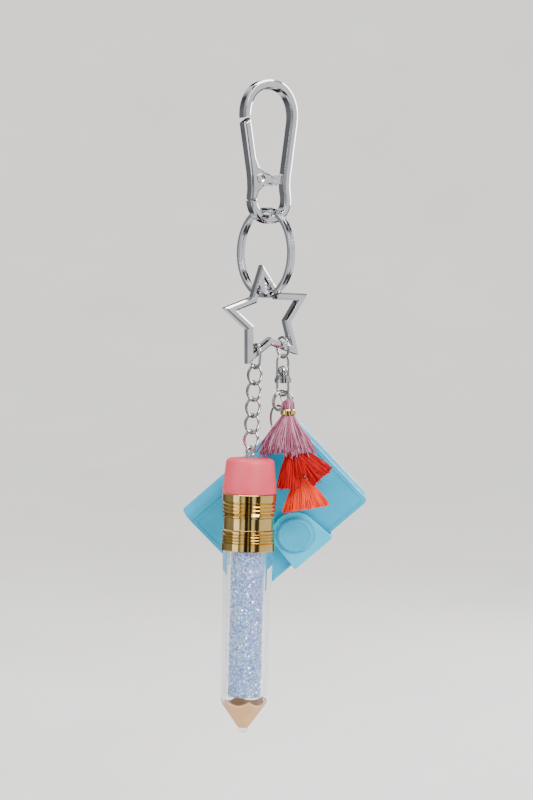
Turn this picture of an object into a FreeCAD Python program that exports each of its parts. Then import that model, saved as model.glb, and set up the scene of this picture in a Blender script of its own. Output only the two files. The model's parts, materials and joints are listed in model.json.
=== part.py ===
import FreeCAD, Part
import math
import os

import Sketcher

# A charm keychain: a rocker-gate snap hook carries a split ring, the split ring carries a
# star-shaped gate ring, and the star carries two branches. One is a curb chain with a
# glitter-filled pencil; the other is a swivel with a three-tier tassel and a mini photo album.
# Frame: +Z up, the front faces -Y, the origin is where the snap hook hangs (top inner arc).

Vector = FreeCAD.Vector
UP = Vector(0, 0, 1)
RIGHT = Vector(1, 0, 0)
BACK = Vector(0, 1, 0)

# Driving dimensions in millimetres and degrees, written to the spreadsheet "Dims".
DIMENSIONS = {
    "hook_depth": 4.8, "hook_yaw": 27.0, "hook_bevel": 0.6, "hook_shift": -0.17,
    "gate_pivot_u": -4.3, "gate_pivot_v": -30.4,
    "fork_width": 2.8, "tongue_thickness": 1.2, "tongue_radius": 2.2,
    "rivet_radius": 1.0, "rivet_head_radius": 1.6, "rivet_head_height": 0.35,
    "rivet_dimple_radius": 0.85, "running_gap": 0.05,
    "hook_spring_radius": 1.5, "hook_spring_wire": 0.19,
    "split_outer": 15.4, "split_inner": 13.8, "split_width": 2.7, "split_yaw": -54.0,
    "split_slit": 0.16, "split_drop": 55.5, "split_shift": -1.5, "split_back": -0.75,
    "star_radius": 18.1, "star_notch": 9.5, "star_bar": 2.4, "star_depth": 3.2,
    "star_spin": 8.0, "star_yaw": 34.0, "star_bevel": 0.55, "star_shift": -1.1,
    "star_drop": 77.4, "star_back": 0.0, "star_pin_along": 5.0, "star_pin_radius": 0.5,
    "star_gate_end": 11.0, "star_knuckle": 1.2, "star_slot": 1.4, "star_seat": 8.45,
    "jump_wire": 0.5, "jump_bend": 2.5, "jump_straight": 3.1, "chain_yaw": 124.0,
    "chain_shift": -4.7, "chain_back": -2.45, "chain_drop": 89.15, "chain_lean": 3.3,
    "link_wire": 0.475, "link_half_width": 2.3, "link_half_length": 3.29, "link_twist": 45.0,
    "link_touch": 1.02, "link_count": 5,
    "eye_wire": 0.475, "eye_bend": 1.6, "eye_yaw": 35.0, "eye_shank": 0.7, "eye_depth": 5.0,
    "pencil_lean": 1.6,
    "eraser_top_radius": 8.3, "eraser_base_radius": 9.2, "eraser_height": 12.0,
    "eraser_round": 1.7, "ferrule_radius": 9.3, "ferrule_waist": 8.7, "ferrule_height": 19.5,
    "ferrule_wall": 0.5,
    "tube_corner_top": 8.9, "tube_corner_base": 8.2, "tube_length": 52.9, "hex_turn": 13.6,
    "bore_radius": 6.05, "bore_floor": 3.0, "cone_height": 9.2, "cone_end_radius": 1.7,
    "cone_skin": 0.45, "nib_height": 1.5, "tube_socket": 14.0, "stopper_height": 4.0,
    "swivel_shift": 4.35, "swivel_back": 3.45, "swivel_drop": 87.2, "swivel_lean": 5.0,
    "ring_wire": 0.45, "ring_bend": 3.5, "ring_drop": 0.6,
    "bail_wire": 0.4, "bail_bend": 2.3, "bail_length": 7.2, "bail_yaw": 34.0,
    "plate_thickness": 0.9, "stem_radius": 0.7, "ball_radius": 1.75,
    "loop_bend": 2.65, "loop_wire": 0.45, "loop_yaw": -45.0, "loop_length": 4.6,
    "block_height": 1.3,
    "charm_bend": 3.25, "charm_wire": 0.6, "charm_yaw": 35.0, "charm_slide": -0.7, "charm_lean": 12.0,
    "small_bend": 2.6, "small_wire": 0.35, "small_yaw": 40.0, "small_slide": 1.5,
    "small_lean": 33.0, "small_tilt": 9.0, "album_ring_bend": 6.2, "album_ring_wire": 0.4,
    "album_ring_yaw": -55.0, "album_ring_lean": 20.0, "wire_touch": 0.12, "ring_cut": 4.0,
    "knot_bend": 1.2, "knot_wire": 0.5, "band_radius": 2.6, "band_height": 2.1,
    "cord_radius": 0.7,
    "album_width": 40.0, "album_length": 51.0, "album_turn": 47.7, "album_tilt": 15.0,
    "cover": 1.4, "cover_round": 1.6,
    "album_stack": 8.7, "page": 0.5, "page_pitch": 0.95, "page_inset": 1.6, "page_count": 5,
    "spine_wall": 1.2, "spine_notch": 12.0, "eyelet_across": -16.8, "eyelet_along": 18.0,
    "eyelet_radius": 1.5, "eyelet_flange": 2.5, "eyelet_lip": 0.25,
    "strap": 1.2, "strap_width": 17.7, "strap_end": 8.0, "strap_across": 11.4,
    "strap_along": -1.0, "strap_raise": 1.7, "strap_proud": 1.0, "strap_tail": 7.0,
    "cap_radius": 6.15, "cap_height": 1.5, "cap_dish": 0.25, "post_radius": 1.2,
    "socket_radius": 4.4, "socket_height": 1.35, "stud_radius": 1.9, "stud_base": 3.6,
}

doc = FreeCAD.newDocument("CharmKeychain")
sheet = doc.addObject("Spreadsheet::Sheet", "Dims")
for row, (alias, value) in enumerate(DIMENSIONS.items(), start=1):
    sheet.set(f"A{row}", alias)
    sheet.set(f"B{row}", str(value))
    sheet.setAlias(f"B{row}", alias)
doc.recompute()

finished = []


def dim(alias):
    """A driving dimension, read back from the spreadsheet."""
    return float(sheet.get(alias))


def keep(piece, label, place=None):
    """Gives a finished sub-part its label and its place in the keychain's frame."""
    piece.Label = label
    if place is not None:
        piece.Placement = place
    finished.append(piece)
    return piece


# ---------------------------------------------------------------- placements


def turned(axis, degrees):
    return FreeCAD.Placement(Vector(0, 0, 0), FreeCAD.Rotation(axis, degrees))


def moved(x, y, z):
    return FreeCAD.Placement(Vector(x, y, z), FreeCAD.Rotation())


def upright_ring(yaw):
    """Stands a ring made flat about Z on edge, with its plane turned by yaw about Z."""
    return turned(UP, yaw) * turned(RIGHT, 90)


HOOK = moved(dim("hook_shift"), 0, 0) * turned(UP, dim("hook_yaw"))
SPLIT = moved(dim("split_shift"), dim("split_back"), -dim("split_drop"))
STAR = moved(dim("star_shift"), dim("star_back"), -dim("star_drop")) * turned(UP, dim("star_yaw"))
CHAIN = moved(dim("chain_shift"), dim("chain_back"), -dim("chain_drop"))
CHAIN = CHAIN * turned(BACK, dim("chain_lean"))
SWIVEL = moved(dim("swivel_shift"), dim("swivel_back"), -dim("swivel_drop"))
SWIVEL = SWIVEL * turned(RIGHT, dim("swivel_lean"))


# ---------------------------------------------------------------- shared features


def primitive(kind, name, **bound):
    """A Part primitive whose properties are bound to spreadsheet expressions."""
    piece = doc.addObject("Part::" + kind, name)
    for key, expression in bound.items():
        piece.setExpression(key, expression)
    return piece


def joined(name, pieces):
    fuse = doc.addObject("Part::MultiFuse", name)
    fuse.Shapes = pieces
    return fuse


def cut(name, base, tool):
    result = doc.addObject("Part::Cut", name)
    result.Base = base
    result.Tool = tool
    return result


def common(name, base, tool):
    result = doc.addObject("Part::MultiCommon", name)
    result.Shapes = [base, tool]
    return result


def new_body(name):
    return doc.addObject("PartDesign::Body", name)


def plane_of(body, role):
    return next(item for item in body.Origin.OriginFeatures if item.Role == role)


def new_sketch(body, name, role, offset=0.0):
    """An empty sketch on one of the body's own origin planes, or parallel to it."""
    sketch = body.newObject("Sketcher::SketchObject", name)
    sketch.AttachmentSupport = (plane_of(body, role), [""])
    sketch.MapMode = "FlatFace"
    sketch.AttachmentOffset = FreeCAD.Placement(Vector(0, 0, offset), FreeCAD.Rotation())
    return sketch


def add_polygon(sketch, points):
    """A closed outline of straight lines whose corners are joined by constraints."""
    corners = [Vector(x, y, 0) for x, y in points]
    first = sketch.GeometryCount
    for start, end in zip(corners, corners[1:] + corners[:1]):
        sketch.addGeometry(Part.LineSegment(start, end), False)
    count = len(corners)
    for index in range(count):
        following = first + (index + 1) % count
        sketch.addConstraint(Sketcher.Constraint("Coincident", first + index, 2, following, 1))


def add_curve(sketch, points, pieces=28):
    """A smooth closed outline through a few points, drawn as a chain of arcs."""
    curve = Part.BSplineCurve()
    curve.interpolate(Points=[Vector(x, y, 0) for x, y in points], PeriodicFlag=True)
    spots = [Vector(spot.x, spot.y, 0) for spot in curve.discretize(2 * pieces + 1)]
    spots[-1] = spots[0]
    for index in range(0, 2 * pieces, 2):
        sketch.addGeometry(Part.Arc(*spots[index:index + 3]), False)


def add_circle(sketch, x, y, alias):
    """A circle whose radius is bound to a spreadsheet cell."""
    index = sketch.addGeometry(Part.Circle(Vector(x, y, 0), UP, dim(alias)), False)
    constraint = sketch.addConstraint(Sketcher.Constraint("Radius", index, dim(alias)))
    sketch.setExpression(f"Constraints[{constraint}]", f"Dims.{alias}")


def add_ellipse(sketch, x, y, half_x, half_y):
    """An ellipse with its long axis along the sketch's X or Y."""
    centre = Vector(x, y, 0)
    if half_x >= half_y:
        ellipse = Part.Ellipse(centre + Vector(half_x, 0, 0), centre + Vector(0, half_y, 0), centre)
    else:
        ellipse = Part.Ellipse(centre + Vector(0, half_y, 0), centre + Vector(half_x, 0, 0), centre)
    sketch.addGeometry(ellipse, False)


def pad(body, sketch, name, length, symmetric=True, reverse=False):
    feature = body.newObject("PartDesign::Pad", name)
    feature.Profile = sketch
    feature.setExpression("Length", length)
    feature.SideType = "Symmetric" if symmetric else "One side"
    feature.Reversed = reverse
    return feature


def pocket(body, sketch, name, length, symmetric=True, reverse=False):
    """A pocket that must remove material: its volume is compared with the body's before it."""
    doc.recompute()
    before = body.Shape.Volume
    feature = body.newObject("PartDesign::Pocket", name)
    feature.Profile = sketch
    feature.setExpression("Length", length)
    feature.SideType = "Symmetric" if symmetric else "One side"
    feature.Reversed = reverse
    doc.recompute()
    if not body.Shape.Volume < before - 1e-6:
        raise RuntimeError(f"{name} cuts nothing")
    return feature


def bevel_faces(body, feature, depth_alias, size_alias):
    """Chamfers the edges that lie in the two flat faces of a symmetric pad along Y."""
    doc.recompute()
    half = dim(depth_alias) / 2
    edges = []
    for index, edge in enumerate(feature.Shape.Edges, start=1):
        box = edge.BoundBox
        flat = box.YMax - box.YMin < 1e-6
        if flat and abs(abs(box.YMax) - half) < 1e-4:
            edges.append(f"Edge{index}")
    chamfer = body.newObject("PartDesign::Chamfer", feature.Name + "Bevel")
    chamfer.Base = (feature, edges)
    chamfer.setExpression("Size", f"Dims.{size_alias}")
    return chamfer


def revolved(name, profile):
    """A body of revolution about Z from a closed outline of (radius, height) points."""
    body = new_body(name)
    sketch = new_sketch(body, name + "Profile", "XZ_Plane")
    add_polygon(sketch, profile)
    feature = body.newObject("PartDesign::Revolution", name + "Turn")
    feature.Profile = sketch
    feature.ReferenceAxis = (sketch, ["V_Axis"])
    feature.Angle = 360
    return body


def lofted(name, sections, hollow=()):
    """A body through ellipses (height, x, y, half x, half y), hollowed by more ellipses."""
    body = new_body(name)
    for kind, rows in (("AdditiveLoft", sections), ("SubtractiveLoft", hollow)):
        sketches = []
        for number, (height, x, y, half_x, half_y) in enumerate(rows):
            sketch = new_sketch(body, f"{name}{kind}{number}", "XY_Plane", height)
            add_ellipse(sketch, x, y, half_x, half_y)
            sketches.append(sketch)
        if sketches:
            doc.recompute()
            loft = body.newObject("PartDesign::" + kind, name + kind)
            loft.Profile = sketches[0]
            loft.Sections = sketches[1:]
            loft.Ruled = False
    return body


def cut_ring(label, bend_alias, wire_alias, place):
    """A jump ring of round wire, with the narrow cut where it was closed at its side."""
    ring = primitive("Torus", label, Radius1=f"Dims.{bend_alias}", Radius2=f"Dims.{wire_alias}")
    ring.setExpression("Angle3", "360 - Dims.ring_cut")
    return keep(ring, label, place)


# ---------------------------------------------------------------- snap hook

# Half outlines of the gourd-shaped hook, (across, up), measured from its own middle line.
HOOK_MIDDLE = -0.35
HOOK_OUTER = [(0, 3.15), (7.2, 0.1), (10.2, -7.0), (9.6, -15.0), (8.35, -23.6),
              (7.4, -30.5), (7.3, -34.0), (7.65, -38.0), (5.4, -43.4), (0, -45.6)]
HOOK_INNER = [(0, 0), (5.3, -2.1), (7.5, -7.2), (6.95, -15.0), (5.75, -23.6),
              (4.85, -30.5), (4.9, -34.5), (5.25, -38.0), (3.6, -41.4), (0, -42.6)]
# The rocker gate: its outer side, the beak with its tip against the spine, and its lower end.
GATE_OUTLINE = [(-10.55, -11.6), (-10.0, -15.0), (-9.45, -18.5), (-8.75, -23.6), (-8.1, -27.5),
                (-7.75, -30.5), (-7.65, -34.0), (-7.95, -37.4), (-5.65, -38.5), (-5.75, -37.2),
                (-5.1, -35.0), (-3.3, -33.2), (-1.1, -32.4), (0.6, -32.5), (2.2, -32.75),
                (1.5, -31.2), (0.5, -30.0), (-0.9, -28.9), (-2.9, -28.1), (-4.9, -26.4),
                (-6.05, -23.4), (-6.7, -19.5), (-7.4, -15.0), (-8.1, -9.9)]
# What the hook's body loses on the gate's side, between the two oblique cuts.
GATE_ROOM = [(-12.0, -10.55), (-6.6, -8.6), (-4.0, -20.0), (-3.6, -30.0), (-3.6, -39.2),
             (-5.4, -38.95), (-8.2, -37.75), (-12.0, -37.9)]
TONGUE_OUTLINE = [(5.0, -28.9), (-1.4, -29.1), (-1.4, -31.8), (5.0, -32.2)]
FORK_ROOM = [(-6.9, -26.4), (4.0, -26.4), (4.0, -37.0), (-6.9, -37.0)]


def mirrored_outline(half):
    """A closed outline from its right half, top to bottom, about the hook's middle line."""
    right = [(HOOK_MIDDLE + across, up) for across, up in half]
    left = [(HOOK_MIDDLE - across, up) for across, up in half[-2:0:-1]]
    return right + left


def build_hook_body():
    body = new_body("HookBody")
    sketch = new_sketch(body, "HookOutline", "XZ_Plane")
    add_curve(sketch, mirrored_outline(HOOK_OUTER))
    add_curve(sketch, mirrored_outline(HOOK_INNER))
    bow = pad(body, sketch, "HookBow", "Dims.hook_depth")
    bevel_faces(body, bow, "hook_depth", "hook_bevel")
    room = new_sketch(body, "GateRoom", "XZ_Plane")
    add_polygon(room, GATE_ROOM)
    pocket(body, room, "GateRoomCut", "Dims.hook_depth + 2")
    tongue = new_sketch(body, "TongueOutline", "XZ_Plane")
    add_polygon(tongue, TONGUE_OUTLINE)
    pad(body, tongue, "Tongue", "Dims.tongue_thickness")
    disc = new_sketch(body, "TongueDisc", "XZ_Plane")
    add_circle(disc, dim("gate_pivot_u"), dim("gate_pivot_v"), "tongue_radius")
    pad(body, disc, "TongueEnd", "Dims.tongue_thickness")
    link = new_sketch(body, "TongueNeck", "XZ_Plane")
    add_polygon(link, [(-1.3, -29.1), (-4.0, -28.6), (-4.0, -32.2), (-1.3, -31.8)])
    pad(body, link, "TongueNeckPad", "Dims.tongue_thickness")
    bore = new_sketch(body, "TongueBore", "XZ_Plane")
    add_circle(bore, dim("gate_pivot_u"), dim("gate_pivot_v"), "rivet_radius")
    pocket(body, bore, "TongueBoreCut", "Dims.hook_depth + 2")
    keep(body, "carabiner_body", HOOK)


def build_hook_gate():
    body = new_body("HookGate")
    sketch = new_sketch(body, "GateOutline", "XZ_Plane")
    add_polygon(sketch, GATE_OUTLINE)
    rocker = pad(body, sketch, "Rocker", "Dims.hook_depth")
    bevel_faces(body, rocker, "hook_depth", "hook_bevel")
    fork = new_sketch(body, "ForkRoom", "XZ_Plane")
    add_polygon(fork, FORK_ROOM)
    pocket(body, fork, "ForkRoomCut", "Dims.fork_width")
    bore = new_sketch(body, "GateBore", "XZ_Plane")
    index = bore.addGeometry(Part.Circle(
        Vector(dim("gate_pivot_u"), dim("gate_pivot_v"), 0), UP, dim("rivet_radius")), False)
    radius = bore.addConstraint(Sketcher.Constraint("Radius", index, dim("rivet_radius")))
    bore.setExpression(f"Constraints[{radius}]", "Dims.rivet_radius + Dims.running_gap")
    pocket(body, bore, "GateBoreCut", "Dims.hook_depth + 2")
    keep(body, "carabiner_gate", HOOK)


def hook_pivot():
    """The rivet's frame: its axis along the hook's depth."""
    return HOOK * moved(dim("gate_pivot_u"), 0, dim("gate_pivot_v")) * turned(RIGHT, 90)


def build_rivet():
    half = dim("hook_depth") / 2 + 0.02
    head = half + dim("rivet_head_height")
    shaft, rim = dim("rivet_radius"), dim("rivet_head_radius")
    dimple = dim("rivet_dimple_radius")
    floor = half - 0.1
    profile = [(0, -floor), (dimple, -head), (rim - 0.15, -head), (rim, -head + 0.15),
               (rim, -half), (shaft, -half), (shaft, half), (rim, half), (rim, head - 0.15),
               (rim - 0.15, head), (dimple, head), (0, floor)]
    keep(revolved("Rivet", profile), "carabiner_gate_rivet", hook_pivot())


def build_hook_spring():
    """A torsion spring of two turns beside the tongue, with a leg against the gate."""
    wire, bend = dim("hook_spring_wire"), dim("hook_spring_radius")
    near = dim("tongue_thickness") / 2 + wire + 0.03
    turns = []
    for number in range(2):
        turn = primitive("Torus", f"SpringTurn{number}", Radius2="Dims.hook_spring_wire")
        turn.setExpression("Radius1", f"Dims.hook_spring_radius - {0.04 * number}")
        turn.Placement = moved(0, 0, -near - number * 1.6 * wire)
        turns.append(turn)
    leg = primitive("Cylinder", "SpringLeg", Radius="Dims.hook_spring_wire * 0.85")
    leg.Height = 3.4
    leg.Placement = FreeCAD.Placement(Vector(-bend, -0.3, -near), FreeCAD.Rotation(RIGHT, -90))
    keep(joined("HookSpring", turns + [leg]), "carabiner_gate_spring", hook_pivot())


# ---------------------------------------------------------------- split ring


def build_split_ring():
    """Two flat coils side by side, joined at their middle, with both wire ends cut square."""
    inner, outer = dim("split_inner"), dim("split_outer")
    half, slit = dim("split_width") / 2, dim("split_slit")
    edge = 0.25
    profile = [(inner + edge, -half), (outer - edge, -half), (outer, -half + edge),
               (outer, -slit), (outer - 2 * slit, 0), (outer, slit), (outer, half - edge),
               (outer - edge, half), (inner + edge, half), (inner, half - edge),
               (inner, slit), (inner + 2 * slit, 0), (inner, -slit), (inner, -half + edge)]
    body = revolved("SplitRing", profile)
    for name, turn, reverse in (("FrontEnd", 62, False), ("BackEnd", 78, True)):
        sketch = new_sketch(body, name, "XY_Plane", 0.12 if not reverse else -0.12)
        across = Vector(math.cos(math.radians(turn)), math.sin(math.radians(turn)), 0)
        along = Vector(-across.y, across.x, 0)
        corners = [across * (inner - 1) - along * 0.2, across * (outer + 1) - along * 0.2,
                   across * (outer + 1) + along * 0.2, across * (inner - 1) + along * 0.2]
        add_polygon(sketch, [(corner.x, corner.y) for corner in corners])
        pocket(body, sketch, name + "Cut", "Dims.split_width", False, not reverse)
    keep(body, "split_ring", SPLIT * upright_ring(dim("split_yaw")))


# ---------------------------------------------------------------- star gate ring


def star_points(radius, notch):
    """The ten corners of the star, from its top point clockwise, in its own plane."""
    points = []
    for number in range(10):
        angle = math.radians(90 + dim("star_spin") - 36 * number)
        reach = radius if number % 2 == 0 else notch
        points.append((reach * math.cos(angle), reach * math.sin(angle)))
    return points


def star_edge_distance():
    """How far the outer edges' lines pass from the star's middle."""
    radius, notch = dim("star_radius"), dim("star_notch")
    side = math.sqrt(radius ** 2 + notch ** 2 - 2 * radius * notch * math.cos(math.radians(36)))
    return radius * notch * math.sin(math.radians(36)) / side


def star_gate_frame():
    """The top point's right arm: its tip, its direction and the direction into the star."""
    tip, notch = [Vector(x, 0, z) for x, z in star_points(dim("star_radius"), dim("star_notch"))[:2]]
    along = (notch - tip).normalize()
    return tip, along, along.cross(BACK) * -1


def gate_point(along_distance, inward):
    tip, along, into = star_gate_frame()
    point = tip + along * along_distance + into * inward
    return (point.x, point.z)


def build_star_frame():
    shrink = 1 - dim("star_bar") / star_edge_distance()
    body = new_body("StarFrame")
    sketch = new_sketch(body, "StarOutline", "XZ_Plane")
    add_polygon(sketch, star_points(dim("star_radius"), dim("star_notch")))
    hollow = star_points(dim("star_radius") * shrink, dim("star_notch") * shrink)
    add_polygon(sketch, hollow)
    solid = pad(body, sketch, "StarBar", "Dims.star_depth")
    bevel_faces(body, solid, "star_depth", "star_bevel")
    # The hinge block fills the top point down to the seat where the split ring hangs.
    block = new_sketch(body, "HingeBlock", "XZ_Plane")
    seat = dim("star_seat")
    left = Vector(hollow[9][0], hollow[9][1], 0)
    top = Vector(hollow[0][0], hollow[0][1], 0)
    share = (seat - left.y) / (top.y - left.y)
    corner = left + (top - left) * share
    add_polygon(block, [(corner.x - 0.6, seat), (-1.15, seat), (-1.45, 11.6), (0.3, 13.6),
                        (-1.6, 15.6), (top.x - 0.9, top.y)])
    pad(body, block, "HingeBlockPad", "Dims.star_depth - 2 * Dims.star_bevel")
    gap = new_sketch(body, "GateGap", "XZ_Plane")
    start, end, bar = 7.0, dim("star_gate_end") + 0.2, dim("star_bar")
    add_polygon(gap, [gate_point(start, -1), gate_point(end, -1), gate_point(end, bar + 1.6),
                      gate_point(start, bar + 1.2)])
    pocket(body, gap, "GateGapCut", "Dims.star_depth + 2")
    slot = new_sketch(body, "KnuckleSlot", "XZ_Plane")
    add_polygon(slot, [gate_point(3.7, -1), gate_point(8, -1), gate_point(8, bar + 3),
                       gate_point(3.7, bar + 1.4)])
    pocket(body, slot, "KnuckleSlotCut", "Dims.star_slot")
    bore = new_sketch(body, "PinBore", "XZ_Plane")
    x, z = gate_point(dim("star_pin_along"), bar / 2)
    add_circle(bore, x, z, "star_pin_radius")
    pocket(body, bore, "PinBoreCut", "Dims.star_depth + 2")
    keep(body, "star_frame", STAR)


def build_star_gate():
    bar, reach = dim("star_bar"), dim("star_gate_end")
    body = new_body("StarGate")
    sketch = new_sketch(body, "ArmOutline", "XZ_Plane")
    add_polygon(sketch, [gate_point(7.15, 0.1), gate_point(reach, 0), gate_point(reach, bar),
                         gate_point(7.15, bar)])
    arm = pad(body, sketch, "Arm", "Dims.star_depth")
    bevel_faces(body, arm, "star_depth", "star_bevel")
    tongue = new_sketch(body, "KnuckleOutline", "XZ_Plane")
    add_polygon(tongue, [gate_point(4.9, 0.3), gate_point(7.6, 0.3), gate_point(7.6, bar - 0.2),
                         gate_point(4.9, bar - 0.2)])
    pad(body, tongue, "Knuckle", "Dims.star_knuckle")
    x, z = gate_point(dim("star_pin_along"), bar / 2)
    round_end = new_sketch(body, "KnuckleRound", "XZ_Plane")
    round_end.addGeometry(Part.Circle(Vector(x, z, 0), UP, bar / 2 - 0.2), False)
    pad(body, round_end, "KnuckleRoundPad", "Dims.star_knuckle")
    bore = new_sketch(body, "KnuckleBore", "XZ_Plane")
    index = bore.addGeometry(Part.Circle(Vector(x, z, 0), UP, dim("star_pin_radius")), False)
    radius = bore.addConstraint(Sketcher.Constraint("Radius", index, dim("star_pin_radius")))
    bore.setExpression(f"Constraints[{radius}]", "Dims.star_pin_radius + Dims.running_gap")
    pocket(body, bore, "KnuckleBoreCut", "Dims.star_depth + 2")
    keep(body, "star_gate", STAR)


def star_pin_place():
    x, z = gate_point(dim("star_pin_along"), dim("star_bar") / 2)
    return STAR * moved(x, 0, z) * turned(RIGHT, 90)


def build_star_pin():
    pin = primitive("Cylinder", "StarPin", Radius="Dims.star_pin_radius",
                    Height="Dims.star_depth - 0.4")
    keep(pin, "star_gate_pin", star_pin_place() * moved(0, 0, 0.2 - dim("star_depth") / 2))


# ---------------------------------------------------------------- curb chain and pencil


def build_chain_jump_ring():
    """The oval ring round the star's lower left arm: two half circles and two straights."""
    ends = []
    for name, start in (("Upper", 0), ("Lower", 1)):
        end = primitive("Torus", "ChainJump" + name, Radius1="Dims.jump_bend",
                        Radius2="Dims.jump_wire")
        end.Angle3 = 180
        flip = turned(UP, 180) if start else turned(UP, 0)
        end.Placement = moved(0, 0, -start * dim("jump_straight")) * turned(RIGHT, 90) * flip
        ends.append(end)
    for name, side in (("Left", -1), ("Right", 1)):
        leg = primitive("Cylinder", "ChainJump" + name, Radius="Dims.jump_wire",
                        Height="Dims.jump_straight")
        leg.Placement = moved(side * dim("jump_bend"), 0, -dim("jump_straight"))
        ends.append(leg)
    keep(joined("ChainJump", ends), "chain_jump_ring", CHAIN * turned(UP, dim("chain_yaw")))


def twisted_path():
    """The middle line of a curb link: an oval whose lower half is turned against its upper."""
    half_width, half_length = dim("link_half_width"), dim("link_half_length")
    points = []
    steps = 24
    for step in range(steps):
        angle = 2 * math.pi * step / steps
        height = half_length * math.sin(angle)
        across = half_width * math.cos(angle) * (1 + 0.16 * math.sin(angle) ** 2)
        turn = math.radians(dim("link_twist")) * math.sin(angle)
        points.append(Vector(across * math.cos(turn), across * math.sin(turn), height))
    curve = Part.BSplineCurve()
    curve.interpolate(Points=points, PeriodicFlag=True)
    return curve


def link_shape():
    """One curb link: its wire's round section swept along both halves of the twisted oval."""
    whole = twisted_path()
    first, last = whole.FirstParameter, whole.LastParameter
    halves = []
    for start, end in ((first, (first + last) / 2), ((first + last) / 2, last)):
        path = whole.copy()
        path.segment(start, end)
        place, heading = path.value(path.FirstParameter), path.tangent(path.FirstParameter)[0]
        section = Part.Wire(Part.Circle(place, heading, dim("link_wire")).toShape())
        sweep = Part.BRepOffsetAPI.MakePipeShell(Part.Wire(path.toShape()))
        sweep.setFrenetMode(False)
        sweep.add(section)
        sweep.build()
        sweep.makeSolid()
        halves.append(sweep.shape())
    return halves[0].fuse(halves[1]).removeSplitter()


def first_link_drop():
    """From the jump ring's upper middle to the first link's middle."""
    reach = dim("jump_straight") + dim("jump_bend")
    return reach - dim("link_wire") - dim("jump_wire") - 0.07 + dim("link_half_length")


def link_pitch():
    return 2 * dim("link_half_length") - dim("link_touch")


def build_chain_links():
    for number in range(int(dim("link_count"))):
        link = doc.addObject("Part::Feature", f"Link{number + 1}")
        link.Shape = link_shape()
        drop = first_link_drop() + number * link_pitch()
        keep(link, f"chain_link_{number + 1}", CHAIN * moved(0, 0, -drop))


def pencil_place():
    """The pencil hangs from the last link; its origin is the middle of its eye."""
    drop = first_link_drop() + (dim("link_count") - 1) * link_pitch()
    drop += dim("link_half_length") - dim("link_touch") + dim("eye_bend")
    eye = CHAIN * moved(0, 0, -drop)
    return FreeCAD.Placement(eye.Base, FreeCAD.Rotation(BACK, dim("pencil_lean")))


PENCIL = pencil_place()
# Heights below the pencil's eye.
ERASER_TOP = -(dim("eye_bend") + 0.75)
ERASER_BASE = ERASER_TOP - dim("eraser_height")
FERRULE_BASE = ERASER_BASE - dim("ferrule_height")
TUBE_END = FERRULE_BASE - dim("tube_length")
CONE_END = TUBE_END - dim("cone_height") + 1.2


def build_eye():
    eye = primitive("Torus", "EyeRing", Radius1="Dims.eye_bend", Radius2="Dims.eye_wire")
    eye.Placement = upright_ring(dim("eye_yaw"))
    shank = primitive("Cylinder", "EyeShank", Radius="Dims.eye_shank")
    shank.setExpression("Height", "Dims.eye_depth + 0.9")
    shank.Placement = moved(0, 0, ERASER_TOP - dim("eye_depth"))
    collar = primitive("Cylinder", "EyeCollar")
    collar.Radius = 1.35
    collar.Height = 0.4
    collar.Placement = moved(0, 0, ERASER_TOP + 0.02)
    keep(joined("EyeScrew", [eye, shank, collar]), "pencil_eye_screw", PENCIL)


def build_eraser():
    top, base = dim("eraser_top_radius"), dim("eraser_base_radius")
    curl = dim("eraser_round")
    hole = dim("eye_shank") + 0.03
    floor = ERASER_TOP - dim("eye_depth") - 0.3
    profile = [(0, ERASER_BASE), (base - 0.25, ERASER_BASE), (base, ERASER_BASE + 0.25)]
    profile.append((base - 0.12, ERASER_BASE + 2.5))
    for step in range(6):
        angle = math.radians(18 * step)
        profile.append((top - curl + curl * math.cos(angle),
                        ERASER_TOP - curl + curl * math.sin(angle)))
    profile += [(hole, ERASER_TOP), (hole, floor), (0, floor)]
    keep(revolved("Eraser", profile), "eraser_cap", PENCIL)


def ferrule_outline():
    """The ferrule's outside from top to bottom: bands, three ridges, a waist, ribs, ridges."""
    rim, waist = dim("ferrule_radius"), dim("ferrule_waist")
    rows = [(rim - 0.25, 0), (rim, 0.25), (rim, 2.6), (rim - 0.45, 2.9)]
    for ridge in range(3):
        base = 3.1 + 1.25 * ridge
        rows += [(rim - 0.35, base), (rim, base + 0.3), (rim, base + 0.8), (rim - 0.35, base + 1.1)]
    rows += [(waist, 7.1), (waist + 0.1, 7.3), (rim - 0.1, 7.5), (rim - 0.1, 7.9), (waist, 8.2),
             (waist, 12.2), (rim - 0.1, 12.6), (rim - 0.1, 13.2), (waist + 0.1, 13.5)]
    for ridge in range(3):
        base = 13.7 + 1.0 * ridge
        rows += [(rim - 0.4, base), (rim - 0.05, base + 0.25), (rim - 0.05, base + 0.6),
                 (rim - 0.4, base + 0.85)]
    rows += [(rim - 0.3, 16.7), (rim, 16.9), (rim, 19.25), (rim - 0.25, 19.5)]
    return rows


def build_ferrule():
    height, wall = dim("ferrule_height"), dim("ferrule_wall")
    inside = dim("ferrule_waist") - wall
    profile = [(radius, ERASER_BASE - down * height / 19.5) for radius, down in ferrule_outline()]
    floor = FERRULE_BASE
    seat = floor + dim("tube_socket")
    profile += [(dim("tube_corner_top") + 0.06, floor), (dim("tube_corner_top") + 0.06, floor + 1.0),
                (inside, floor + 1.2), (inside, seat + 2.2), (0, seat + 2.2), (0, ERASER_BASE)]
    keep(revolved("Ferrule", profile), "ferrule", PENCIL)


def hexagon(corner):
    """Six corners, turned so that one flat faces a little left of the front."""
    angles = [math.radians(-90 + dim("hex_turn") + 60 * number) for number in range(6)]
    return [(corner * math.cos(angle), corner * math.sin(angle)) for angle in angles]


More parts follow.
